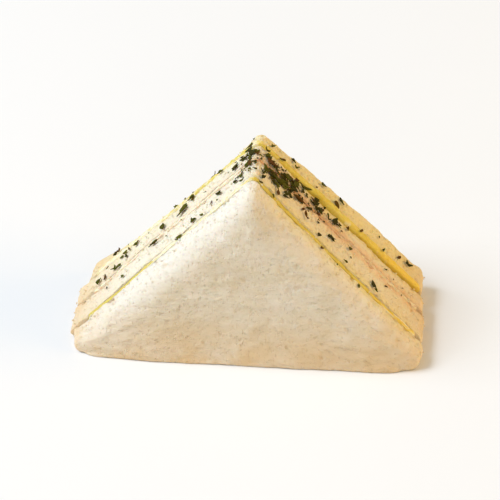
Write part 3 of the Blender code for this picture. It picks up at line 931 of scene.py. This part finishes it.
def stitch(outer, inner):
    """Faces between two rings of points, where the inner one may have half as many."""
    count, half = len(outer), len(inner)
    if count == half:
        return [(outer[i], outer[(i + 1) % count], inner[(i + 1) % count], inner[i]) for i in range(count)]
    faces = []
    for i in range(half):
        before, middle, after = outer[2 * i], outer[2 * i + 1], outer[(2 * i + 2) % count]
        here, there = inner[i], inner[(i + 1) % half]
        faces += [(before, middle, here), (middle, there, here), (middle, after, there)]
    return faces


print("finest step:", round(1000 * FINE, 2), "mm")

# %% [markdown]
# ## Weaving a layer
# A layer is woven in three goes: the rings of its front face, those of its rear face, and the rows
# across the cuts and the foot that join the two rims. Every point gets its marks as it is added.
# One small class holds the points, marks and faces meanwhile, and turns them into a mesh.

# %% A mesh in the making


class Weave:
    """The points, marks and faces of a layer while it is woven."""

    def __init__(self):
        self.points, self.marks, self.faces = [], [], []

    def add(self, place, marks):
        """Adds a point and says its number."""
        self.points.append(Vector(place))
        self.marks.append(marks)
        return len(self.points) - 1

    def join(self, rings):
        """Adds the faces between each ring and the next."""
        for outer, inner in zip(rings, rings[1:]):
            self.faces += stitch(outer, inner)

    def close(self, ring, middle):
        """Adds the fan of faces from a ring to its middle point."""
        self.faces += [(here, there, middle) for here, there in zip(ring, ring[1:] + ring[:1])]

    def make_mesh(self, name):
        mesh = bpy.data.meshes.new(name)
        mesh.from_pydata(self.points, [], self.faces)
        for mark, values in zip(Marks._fields, zip(*self.marks)):
            mesh.attributes.new(mark, "FLOAT", "POINT").data.foreach_set("value", list(values))
        bm = bmesh.new()
        bm.from_mesh(mesh)
        bmesh.ops.recalc_face_normals(bm, faces=bm.faces)
        bm.to_mesh(mesh)
        bm.free()
        mesh.shade_smooth()
        return mesh


print("a weave turns into a mesh with", len(Marks._fields), "attributes")

# %% Weaving


def weave_face(woven, name, columns, through):
    """Weaves a layer's front (0) or rear (1) face and returns the ring at its rim."""
    roll, depth = RIMS[name].rolls[through], (front_depth, rear_depth)[through]
    edge = [on_rim(name, x, z, through, foot) for x, z, foot in columns]
    middle_x, middle_z = on_rim(name, 0.0, INRADIUS, through, 1.0)
    rings = []
    for inset, every in plan_rings(roll, is_outside(name, through)):
        keep = 1 - inset / INRADIUS
        ring = []
        for (x, z), (_, _, foot) in zip(edge[::every], columns[::every]):
            x, z = mix(middle_x, x, keep), mix(middle_z, z, keep)
            fallen = fall(inset, mix(roll, min(FOOT_ROLL, roll), smooth(foot)))
            y = depth(name, x, z) + (fallen if through == 0 else -fallen)
            ring.append(woven.add((x, y, z), mark_face(name, x, z, foot, inset, through)))
        rings.append(ring)
    woven.join(rings)
    marks = Marks(open=FACE_OPEN if is_outside(name, through) else 0.0, plain=PLAIN.get(name, 0.0))
    middle = woven.add((middle_x, depth(name, middle_x, middle_z), middle_z), marks)
    woven.close(rings[-1], middle)
    return rings[0]


def weave_cuts(woven, name, columns, rims):
    """Weaves the two cuts and the foot, in rows from the front face's rim to the rear one's."""
    ends = [(woven.points[first], woven.points[last]) for first, last in zip(*rims)]
    across = max(round(max((start - end).length for start, end in ends) / FINE), 2)
    rows = [rims[0]]
    for step in range(1, across):
        row = []
        for (start, end), (_, _, foot) in zip(ends, columns):
            spot = start.lerp(end, step / across)
            near = [max(1 - (spot - side).length / SOAK, 0) for side in (start, end)]
            row.append(woven.add(spot, mark_cut(name, spot, foot, near, step / across)))
        rows.append(row)
    woven.join([*rows, rims[1]])


print("faces and cuts share the points of their rims")

# %% A whole layer


def steps_for(name):
    """A layer's steps along each cut and along its foot, which shows on the outer slices only."""
    if name in SEAMS:
        return 288, 112
    return (272, 352) if None in BETWEEN[name] else (288, 128)


def weave(name):
    """A whole layer, as an object in the scene."""
    columns = walk_outline(RIMS[name].tips, *steps_for(name))
    woven = Weave()
    rims = [weave_face(woven, name, columns, through) for through in (0, 1)]
    weave_cuts(woven, name, columns, rims)
    return link_new(name + "_food", woven.make_mesh(name + "_food"))


def count_triangles(piece):
    return sum(len(face.vertices) - 2 for face in piece.data.polygons)


print("steps for an outer slice:", steps_for("bread_front"))

# %% [markdown]
# ## Four slices
# The two outer slices show a whole face and both cuts. The two middle ones show only their cuts, so
# they need far fewer points.

# %% Slices
slices = {name: weave(name) for name in BETWEEN}
for name, layer in slices.items():
    print(name, count_triangles(layer), "triangles")

# %% [markdown]
# ## Two slices of cheese and one of ham
# The fillings are thin sheets whose rims are all that shows. They are woven in the same way, with
# their faces taken straight from the seams.

# %% Fillings
fillings = {name: weave(name) for name in SEAMS}
for name, layer in fillings.items():
    print(name, count_triangles(layer), "triangles")

# %% [markdown]
# ## Standing on the frame
# The frame's origin is under the middle of the sandwich. The layers were woven round the point of
# the first cheese, so they all move together until their box has its middle over the origin.

# %% Centre
layers = [*slices.values(), *fillings.values()]
corners = [vert.co for layer in layers for vert in layer.data.vertices]
lows = [min(spot[axis] for spot in corners) for axis in range(3)]
highs = [max(spot[axis] for spot in corners) for axis in range(3)]
SHIFT = Vector((-(lows[0] + highs[0]) / 2, -(lows[1] + highs[1]) / 2, -lows[2]))
for layer in layers:
    layer.data.transform(Matrix.Translation(SHIFT))
print("moved by", [round(1000 * value, 2) for value in SHIFT], "mm")

# %% [markdown]
# ## Running a geometry tree
# A geometry tree is a recipe that Blender can rerun at any time. The finished piece must be a plain
# mesh, so the recipe is run once, its result is kept, and the modifier is taken off again. The
# modifier's inputs are found by name and set by their identifiers before anything is evaluated.

# %% Running a tree
MATERIAL, COLLECTION, INTEGER = "NodeSocketMaterial", "NodeSocketCollection", "NodeSocketInt"


def run_tree(piece, tree, values):
    """Runs a geometry tree on a piece and keeps the result as the piece's plain mesh."""
    modifier = piece.modifiers.new(tree.name, "NODES")
    modifier.node_group = tree
    for item in tree.interface.items_tree:
        if item.in_out == "INPUT" and item.name in values:
            modifier[item.identifier] = values[item.name]
    depsgraph = bpy.context.evaluated_depsgraph_get()
    made = bpy.data.meshes.new_from_object(piece.evaluated_get(depsgraph))
    piece.modifiers.clear()
    worn = piece.data
    piece.data = made
    bpy.data.meshes.remove(worn)
    made.name = piece.name
    return piece


def end_tree(tree, geometry, material, out):
    """Makes real geometry of any instances, gives it its finish and hands it on."""
    real = node(tree, "GeometryNodeRealizeInstances", {0: geometry}).outputs[0]
    done = node(tree, "GeometryNodeSetMaterial", {"Geometry": real, "Material": material})
    tree.links.new(done.outputs[0], out["Geometry"])


def read_field(tree, name, kind="FLOAT"):
    """A value that was stored on the mesh, as a field."""
    return node(tree, "GeometryNodeInputNamedAttribute", {"Name": name}, data_type=kind).outputs[0]


print("trees end in Realize Instances and Set Material")

# %% [markdown]
# ## The crumb
# Bread is a set foam. Its pits could be painted on as bump, but at this distance they must catch
# light and shade, so they are pushed into the mesh. A geometry tree does it: two sizes of pits, a
# fuzz and the long ripples that a knife leaves, each a field over the surface, push every point in
# along its normal. How far depends on how open the crumb is there. The tree also stores how deep
# each point is, for the bread's colour.

# %% Crumb
WARP_SIZE, WARP = 1.6 * MM, 0.9 * MM
LARGE_FULLNESS, SMALL_FULLNESS = 0.62, 0.7

CRUMB, given, out = new_group(
    "Crumb",
    "GeometryNodeTree",
    {
        "Geometry": (GEOMETRY, None),
        "Large Size": (FLOAT, 2.6 * MM),
        "Large Depth": (FLOAT, 0.5 * MM),
        "Small Size": (FLOAT, 1.15 * MM),
        "Small Depth": (FLOAT, 0.36 * MM),
        "Fuzz Size": (FLOAT, 0.7 * MM),
        "Fuzz Depth": (FLOAT, 0.4 * MM),
        "Ripple Size": (FLOAT, 2.6 * MM),
        "Ripple Depth": (FLOAT, 2.0 * MM),
        "Bare Depth": (FLOAT, 0.0),
        "Seed": (FLOAT, 0.0),
        "Material": (MATERIAL, None),
    },
    {"Geometry": GEOMETRY},
)
spot = node(CRUMB, "GeometryNodeInputPosition").outputs[0]
push = vector_maths(CRUMB, "SUBTRACT", cloudy(CRUMB, spot, WARP_SIZE).outputs["Color"], (0.5, 0.5, 0.5))
bent = vector_maths(CRUMB, "ADD", spot, vector_maths(CRUMB, "SCALE", push, WARP))
large = build_pits(CRUMB, bent, given["Large Size"], LARGE_FULLNESS, given["Seed"])
small_seed = maths(CRUMB, "ADD", given["Seed"], 5.0)
small = build_pits(CRUMB, bent, given["Small Size"], SMALL_FULLNESS, small_seed)
fuzz = cloudy(CRUMB, bent, given["Fuzz Size"], 2.0).outputs[0]
opening = read_field(CRUMB, "open")
pushes = (large, given["Large Depth"]), (small, given["Small Depth"]), (fuzz, given["Fuzz Depth"])
depth = maths(CRUMB, "MULTIPLY", weigh(CRUMB, *pushes), opening)
drawn = vector_maths(CRUMB, "MULTIPLY", bent, (0.45, 1.0, 1.0))
ripple = maths(CRUMB, "SUBTRACT", cloudy(CRUMB, drawn, given["Ripple Size"], 1.0).outputs[0], 0.4)
ripple = maths(CRUMB, "MULTIPLY", ripple, maths(CRUMB, "MINIMUM", opening, 0.5))
depth = maths(CRUMB, "MULTIPLY_ADD", ripple, given["Ripple Depth"], depth)
depth = maths(CRUMB, "MULTIPLY_ADD", read_field(CRUMB, "bare"), given["Bare Depth"], depth)
normal = node(CRUMB, "GeometryNodeInputNormal").outputs[0]
offset = vector_maths(CRUMB, "SCALE", normal, maths(CRUMB, "MULTIPLY", depth, -1.0))
sunk = node(CRUMB, "GeometryNodeSetPosition", {"Geometry": given["Geometry"], "Offset": offset})
pit = maths(CRUMB, "MULTIPLY", maths(CRUMB, "MAXIMUM", large, small), opening)
marked = {"Geometry": sunk.outputs[0], "Name": "pit", "Value": pit}
marked = node(CRUMB, "GeometryNodeStoreNamedAttribute", marked, data_type="FLOAT", domain="POINT")
end_tree(CRUMB, marked.outputs[0], given["Material"], out)
print("crumb tree has", len(CRUMB.nodes), "nodes")

# %% [markdown]
# Each slice gets the crumb with a seed of its own, and the fillings get a shallow relief from the
# same tree. Herbs and crumbs fell on the cuts as the knife left them and should lie level, so a
# joined copy of all the layers is kept from before the pits go in.

# %% Crumb on every layer
DEPTHS = ("Large Depth", "Small Depth", "Fuzz Depth", "Ripple Depth", "Bare Depth")
CHEESE_RELIEF = dict(zip(DEPTHS, mm(0, 0.1, 0.25, 1.3, 0.15)))
HAM_RELIEF = dict(zip(DEPTHS, mm(0, 0.15, 0.4, 0.9, 0.1)))


def join_meshes(meshes, joined):
    """Writes the faces of some meshes into one mesh."""
    bm = bmesh.new()
    for mesh in meshes:
        bm.from_mesh(mesh)
    bm.to_mesh(joined)
    bm.free()
    return joined


smooth_cuts = join_meshes([layer.data for layer in layers], bpy.data.meshes.new("smooth_cuts"))
for number, layer in enumerate(slices.values()):
    run_tree(layer, CRUMB, {"Seed": 3.0 * number, "Material": bread})
for name, layer in fillings.items():
    relief, finish = (HAM_RELIEF, ham) if name == "ham" else (CHEESE_RELIEF, cheese)
    run_tree(layer, CRUMB, {**relief, "Seed": 2.0, "Material": finish})
print("crumb in", len(slices), "slices, relief on", len(fillings), "fillings")

# %% [markdown]
# ## Scraps of leaf
# Chopped parsley is torn leaf and bits of stalk. A few scraps are made, each a thin curled
# leaf with a ragged outline, 1 unit long and wide and a fraction of a millimetre thick, and then
# used hundreds of times in different sizes and turns. A few dozen faces each are plenty.

# %% Scraps
SCRAP_KINDS, SCRAP_THICK = 6, 0.16 * MM
CRISP = math.radians(55)


def cut_scrap(name, collection, sides, curl, draw):
    """A ragged, slightly curled piece of leaf with a thin edge, closed all round."""
    bm = bmesh.new()
    bmesh.ops.create_circle(bm, cap_ends=True, cap_tris=True, segments=sides, radius=0.5)
    fold = draw.uniform(0, math.pi)
    lobes = [(turns, draw.uniform(0.06, 0.17), draw.uniform(0, math.tau)) for turns in (2, 3, 5)]
    for vert in bm.verts:
        angle = math.atan2(vert.co.y, vert.co.x)
        lobed = sum(size * math.sin(turns * angle + start) for turns, size, start in lobes)
        vert.co.xy *= 0.95 + lobed + draw.uniform(-0.09, 0.09)
        across = vert.co.x * math.cos(fold) + vert.co.y * math.sin(fold)
        vert.co.z = curl * 4 * across**2 + draw.uniform(0, 0.35) * curl
    raised = bmesh.ops.extrude_face_region(bm, geom=list(bm.faces), use_keep_orig=True)["geom"]
    tops = [item for item in raised if isinstance(item, bmesh.types.BMVert)]
    bmesh.ops.translate(bm, verts=tops, vec=(0, 0, SCRAP_THICK))
    bmesh.ops.recalc_face_normals(bm, faces=bm.faces)
    # The extrusion leaves its faces in a new order each run, so they are put in the order of their corners
    bm.verts.index_update()
    bm.faces.sort(key=lambda face: sum(2.0**vert.index for vert in face.verts))
    mesh = bpy.data.meshes.new(name)
    bm.to_mesh(mesh)
    bm.free()
    mesh.shade_smooth()
    mesh.set_sharp_from_angle(angle=CRISP)
    collection.objects.link(bpy.data.objects.new(name, mesh))


def cut_scraps(name, sides, curls, seed):
    """A collection of scraps with this many sides, whose curls lie between two sizes."""
    collection = bpy.data.collections.new(name)
    bpy.context.scene.collection.children.link(collection)
    draw = random.Random(seed)
    for number in range(SCRAP_KINDS):
        cut_scrap(f"{name}_{number}", collection, sides, draw.uniform(*curls) * MM, draw)
    return collection


scraps = cut_scraps("scraps", 12, (0.15, 0.4), 21)

# %% [markdown]
# ## Strewing the larger leaves
# The largest leaves lie where they fell in the CAD model, and the smaller ones follow the same
# seeded rule as there. Each row below is a side, right (1) or left (-1), the distance down the cut,
# the depth, the length and the width, in millimetres, and a turn in degrees.

# %% Larger leaves
MAIN_LEAVES = (
    (1, 4, 13, 3.4, 1.1, 60), (1, 6, 9, 4.2, 1.7, 10), (1, 9, 7.5, 4.5, 1.9, 15), (1, 12, 6, 3.8, 1.6, 5),
    (1, 13, 11, 3.6, 1.9, 30), (1, 16, 10, 3.4, 2.0, 80), (1, 19.5, 13.5, 4.2, 1.1, 10),
    (1, 17.5, 5.5, 4.2, 1.0, 5), (1, 13, 1.5, 2.4, 0.9, 20), (1, 24.5, 10.5, 2.6, 1.4, 40),
    (1, 26, 7.5, 2.0, 1.3, 0), (1, 32.5, 9.5, 3.2, 2.2, 70), (1, 21.5, 1.0, 2.8, 0.9, 120),
    (1, 32, 1.5, 2.9, 1.1, 20), (1, 39.5, 3.5, 1.8, 1.1, 60), (1, 24, 21, 2.4, 0.9, 10),
    (1, 31.5, 20, 2.6, 0.9, 150), (1, 62, 19, 2.2, 1.2, 0),
    (-1, 5, 12, 3.6, 1.0, 0), (-1, 9, 9.5, 2.2, 1.1, 40), (-1, 20.5, 18, 2.2, 1.2, 60),
    (-1, 27, 14, 2.4, 1.4, 0), (-1, 30.5, 7, 4.2, 2.4, 30), (-1, 24, -1.5, 2.6, 0.9, 0),
    (-1, 39, 8.5, 3.2, 1.6, 100), (-1, 42, 3.5, 3.4, 1.0, 0), (-1, 50, 11, 2.2, 1.3, 50),
    (-1, 58, 6, 2.8, 1.0, 0), (-1, 66, 5.5, 2.4, 1.5, 60),
)
SMALL_LEAVES, LEAF_SEED = 30, 11
LEAF_LONGEST, LEAF_SHORTEST = 2.2 * MM, 1.3 * MM
LEAF_SLIM, LEAF_BROAD = 0.35, 0.7
SMALL_PATCH_SHARE, SMALL_ALONG, SMALL_LENGTH, SMALL_DEPTH, SMALL_SPREAD = 0.4, *mm(15, 8, 9.5, 4.5)
LEFT_SHARE = 0.6
FIRST_LEAF, LAST_LEAF, STRAY_FRONT, STRAY_REAR = mm(3.5, 64, -8, 24)


def scatter_leaves():
    """Every leaf as (side, distance down the cut, depth, length, width, turn), the largest first."""
    draw = random.Random(LEAF_SEED)
    leaves = []
    for side, along, depth, length, width, turn in MAIN_LEAVES:
        leaves.append((side, along * MM, depth * MM, length * MM, width * MM, math.radians(turn)))
    for _ in range(SMALL_LEAVES):
        if draw.random() < SMALL_PATCH_SHARE:
            side = 1
            along = draw.gauss(SMALL_ALONG, SMALL_LENGTH)
            depth = draw.gauss(SMALL_DEPTH, SMALL_SPREAD)
        else:
            side = -1 if draw.random() < LEFT_SHARE else 1
            along = draw.uniform(FIRST_LEAF, LAST_LEAF)
            depth = draw.uniform(STRAY_FRONT, STRAY_REAR)
        along = min(max(along, FIRST_LEAF), LAST_LEAF)
        length = draw.uniform(LEAF_SHORTEST, LEAF_LONGEST)
        width = length * draw.uniform(LEAF_SLIM, LEAF_BROAD)
        leaves.append((side, along, depth, length, width, draw.uniform(0, math.pi)))
    return sorted(leaves, key=lambda leaf: -leaf[3])


print("the longest leaf is", round(1000 * scatter_leaves()[0][3], 1), "mm long")

# %% [markdown]
# A leaf lies on one slice, clear of its rolled edges. So it goes to the slice nearest to its depth
# that has room for it, and a leaf that fits on none is left out. Each becomes a single point that
# knows its length, width and turn and which way is out and down. A tree puts a scrap on every point.

# %% Placing the leaves


def slice_under(x, z, depth, reach):
    """The slice nearest to a depth on the cut that has room for a leaf, and the leaf's depth on it."""
    best = None
    for name in BETWEEN:
        rolls = RIMS[name].rolls
        low = front_depth(name, x, z) + rolls[0] + reach
        high = rear_depth(name, x, z) - rolls[1] - reach
        if low <= high:
            found = min(max(depth, low), high)
            if best is None or abs(found - depth) < abs(best[1] - depth):
                best = (name, found)
    return best


def place_leaves():
    """A mesh of single points, one for each leaf, with what the tree needs stored on it."""
    spots = []
    for side, along_cut, depth, length, width, turn in scatter_leaves():
        x, z = side * along_cut * HALF_DIAGONAL, HEIGHT - along_cut * HALF_DIAGONAL
        reach = length / 2 * abs(math.sin(turn)) + width / 2 * abs(math.cos(turn))
        found = slice_under(x, z, depth, reach)
        if found is None:
            continue
        name, depth = found
        rolls = RIMS[name].rolls
        front, rear = front_depth(name, x, z) + rolls[0], rear_depth(name, x, z) - rolls[1]
        x, z = on_rim(name, x, z, (depth - front) / (rear - front))
        out_way = Vector((side * HALF_DIAGONAL, 0, HALF_DIAGONAL))
        down_way = Vector((side * HALF_DIAGONAL, 0, -HALF_DIAGONAL))
        spots.append((Vector((x, depth, z)) + SHIFT, out_way, down_way, turn, length, width))
    mesh = bpy.data.meshes.new("leaf_spots")
    places, *columns = zip(*spots)
    mesh.from_pydata(places, [], [])
    for name, values in zip(("outward", "downward"), columns[:2]):
        stored = mesh.attributes.new(name, "FLOAT_VECTOR", "POINT")
        stored.data.foreach_set("vector", [number for value in values for number in value])
    for name, values in zip(("turn", "length", "width"), columns[2:]):
        mesh.attributes.new(name, "FLOAT", "POINT").data.foreach_set("value", list(values))
    return mesh


leaves = link_new("parsley_leaves", place_leaves())
print("larger leaves:", len(leaves.data.vertices))

# %% [markdown]
# The tree for them: the scrap's own up axis is set to the outward direction and its long axis to
# the downward one, then it is turned in its own plane. Its tone is stored while it is still a
# single instance, so that the whole leaf gets one tone. A few helpers name these steps, because the
# specks and crumbs go through them too.

# %% Helpers for strewing


def draw_field(tree, low, high, seed, kind="FLOAT"):
    """A random value for each point or instance."""
    made = node(tree, "FunctionNodeRandomValue", {"Seed": seed}, data_type=kind)
    limits = [socket for socket in made.inputs if socket.enabled and socket.name in ("Min", "Max")]
    for socket, value in zip(limits, (low, high)):
        feed(tree, socket, value)
    return next(socket for socket in made.outputs if socket.enabled)


def add_tone(tree, instances, seed):
    """Gives each instance a tone of its own."""
    stored = {"Geometry": instances, "Name": "tone", "Value": draw_field(tree, 0.0, 1.0, seed)}
    settings = {"data_type": "FLOAT", "domain": "INSTANCE"}
    return node(tree, "GeometryNodeStoreNamedAttribute", stored, **settings).outputs[0]


def pick_from(tree, collection):
    """A collection's objects, as instances to choose from."""
    inputs = {"Collection": collection, "Separate Children": True, "Reset Children": True}
    return node(tree, "GeometryNodeCollectionInfo", inputs).outputs[0]


def turn_in_plane(tree, rotation, angle):
    """Turns an instance about its own up axis."""
    spin = {"Axis": (0, 0, 1), "Angle": angle}
    spin = node(tree, "FunctionNodeAxisAngleToRotation", spin).outputs[0]
    turned = {"Rotation": rotation, "Rotate By": spin}
    return node(tree, "FunctionNodeRotateRotation", turned, rotation_space="LOCAL").outputs[0]


print("a strewn piece is picked, turned in its plane and given a tone")

# %% Tree for larger leaves
LEAF_THICKNESS = 1.6

LAY_LEAVES, given, out = new_group(
    "Lay leaves",
    "GeometryNodeTree",
    {
        "Geometry": (GEOMETRY, None),
        "Scraps": (COLLECTION, None),
        "Thickness": (FLOAT, 1.0),
        "Seed": (INTEGER, 0),
        "Material": (MATERIAL, None),
    },
    {"Geometry": GEOMETRY},
)
LAY_LEAVES.is_modifier = True
ways = {
    "Primary Axis": read_field(LAY_LEAVES, "outward", "FLOAT_VECTOR"),
    "Secondary Axis": read_field(LAY_LEAVES, "downward", "FLOAT_VECTOR"),
}
lie = node(LAY_LEAVES, "FunctionNodeAxesToRotation", ways, primary_axis="Z", secondary_axis="X").outputs[0]
sizes = {0: read_field(LAY_LEAVES, "length"), 1: read_field(LAY_LEAVES, "width"), 2: given["Thickness"]}
laid = {
    "Points": given["Geometry"],
    "Instance": pick_from(LAY_LEAVES, given["Scraps"]),
    "Pick Instance": True,
    "Instance Index": draw_field(LAY_LEAVES, 0, SCRAP_KINDS - 1, given["Seed"], "INT"),
    "Rotation": turn_in_plane(LAY_LEAVES, lie, read_field(LAY_LEAVES, "turn")),
    "Scale": node(LAY_LEAVES, "ShaderNodeCombineXYZ", sizes).outputs[0],
}
laid = node(LAY_LEAVES, "GeometryNodeInstanceOnPoints", laid).outputs[0]
end_tree(LAY_LEAVES, add_tone(LAY_LEAVES, laid, given["Seed"]), given["Material"], out)
leaf_values = {"Scraps": scraps, "Thickness": LEAF_THICKNESS, "Seed": 5, "Material": parsley}
run_tree(leaves, LAY_LEAVES, leaf_values)
print("larger leaves have", count_triangles(leaves), "triangles")

# %% [markdown]
# ## Specks and crumbs
# Finer specks of herb and loose crumbs follow the surface instead of a list. Both use one tree: it
# scatters points over the smooth cuts as thickly as a stored mark says, and puts a small piece on
# each, level with the cut and turned at random. Small ones are the most common, so the random
# number that a size comes from is squared.

# %% Tree for specks and crumbs
BROADEST = 0.8

STREW, given, out = new_group(
    "Strew",
    "GeometryNodeTree",
    {
        "Geometry": (GEOMETRY, None),
        "Pieces": (COLLECTION, None),
        "Thickest": (FLOAT, 1e6),
        "Smallest": (FLOAT, 0.4 * MM),
        "Largest": (FLOAT, 1.2 * MM),
        "Slimmest": (FLOAT, 0.5),
        "Seed": (INTEGER, 0),
        "Mark": ("NodeSocketString", "herbs"),
        "Material": (MATERIAL, None),
    },
    {"Geometry": GEOMETRY},
)
STREW.is_modifier = True
density = maths(STREW, "MULTIPLY", read_field(STREW, given["Mark"]), given["Thickest"])
points = {"Mesh": given["Geometry"], "Density": density, "Seed": given["Seed"]}
points = node(STREW, "GeometryNodeDistributePointsOnFaces", points)
angle = draw_field(STREW, 0.0, math.tau, given["Seed"])
lot = draw_field(STREW, 0.0, 1.0, maths(STREW, "ADD", given["Seed"], 1))
size_range = maths(STREW, "SUBTRACT", given["Largest"], given["Smallest"])
size = maths(STREW, "MULTIPLY_ADD", maths(STREW, "POWER", lot, 2.0), size_range, given["Smallest"])
slim = draw_field(STREW, given["Slimmest"], BROADEST, maths(STREW, "ADD", given["Seed"], 2))
stretch = {0: size, 1: maths(STREW, "MULTIPLY", size, slim), 2: 1.0}
strewn = {
    "Points": points.outputs["Points"],
    "Instance": pick_from(STREW, given["Pieces"]),
    "Pick Instance": True,
    "Rotation": turn_in_plane(STREW, points.outputs["Rotation"], angle),
    "Scale": node(STREW, "ShaderNodeCombineXYZ", stretch).outputs[0],
}
strewn = node(STREW, "GeometryNodeInstanceOnPoints", strewn).outputs[0]
end_tree(STREW, add_tone(STREW, strewn, given["Seed"]), given["Material"], out)
print("strewing tree has", len(STREW.nodes), "nodes")

# %% [markdown]
# Specks are smaller scraps with fewer sides. Crumbs are lumps of bread: a ball with noise on it,
# squashed, with its middle just above the cut. How thickly both lie is a number to the square metre,
# where their mark is 1.

# %% Specks and crumbs
LUMP_KINDS, LUMP_ROUGH, LUMP_FLAT, LUMP_LIFT = 4, 0.45, 0.4, 0.2
SPECKS = {"Thickest": 2.1e6, "Smallest": 0.7 * MM, "Largest": 3.2 * MM, "Slimmest": 0.2, "Seed": 8}
CRUMBS = {"Thickest": 9e4, "Smallest": 0.25 * MM, "Largest": 0.8 * MM, "Slimmest": 0.5, "Seed": 40}


def shape_lump(number, collection):
    """A rough, flattened lump of crumb, 1 unit wide."""
    bm = bmesh.new()
    bmesh.ops.create_icosphere(bm, subdivisions=2, radius=0.5)
    for vert in bm.verts:
        vert.co *= 1 + LUMP_ROUGH * noise.noise(vert.co * 3 + Vector((7.0 * number, 0, 0)))
        vert.co.z = (vert.co.z + LUMP_LIFT) * LUMP_FLAT * MM
    mesh = bpy.data.meshes.new(f"lump_{number}")
    bm.to_mesh(mesh)
    bm.free()
    mesh.shade_smooth()
    collection.objects.link(bpy.data.objects.new(f"lump_{number}", mesh))


speck_kinds = cut_scraps("specks", 8, (0.1, 0.25), 33)
lumps = bpy.data.collections.new("lumps")
bpy.context.scene.collection.children.link(lumps)
for number in range(LUMP_KINDS):
    shape_lump(number, lumps)
specks = link_new("parsley_specks", smooth_cuts.copy())
run_tree(specks, STREW, {**SPECKS, "Pieces": speck_kinds, "Mark": "herbs", "Material": parsley})
crumbs = link_new("loose_crumbs", smooth_cuts.copy())
run_tree(crumbs, STREW, {**CRUMBS, "Pieces": lumps, "Mark": "crumbs", "Material": bread})
print("specks", count_triangles(specks), "and crumbs", count_triangles(crumbs), "triangles")

# %% [markdown]
# ## Handing over
# The scraps and lumps that were copied are removed, and the leaves and specks become one piece.
# Then every piece rides on the frame, and the CAD solid of each layer is hidden.

# %% Handing over
for kinds in (scraps, speck_kinds, lumps):
    for pattern in list(kinds.objects):
        bpy.data.objects.remove(pattern)
    bpy.data.collections.remove(kinds)
bpy.data.meshes.remove(smooth_cuts)
join_meshes([leaves.data, specks.data], leaves.data)
bpy.data.objects.remove(specks)
leaves.name = "parsley"

for name, layer in {**slices, **fillings}.items():
    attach(layer, "root")
    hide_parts(name)
for piece, finish_name in ((leaves, "parsley"), (crumbs, "bread")):
    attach(piece, "root")
for piece in (*layers, leaves, crumbs):
    print(f"{piece.name:26} {count_triangles(piece):7} triangles")
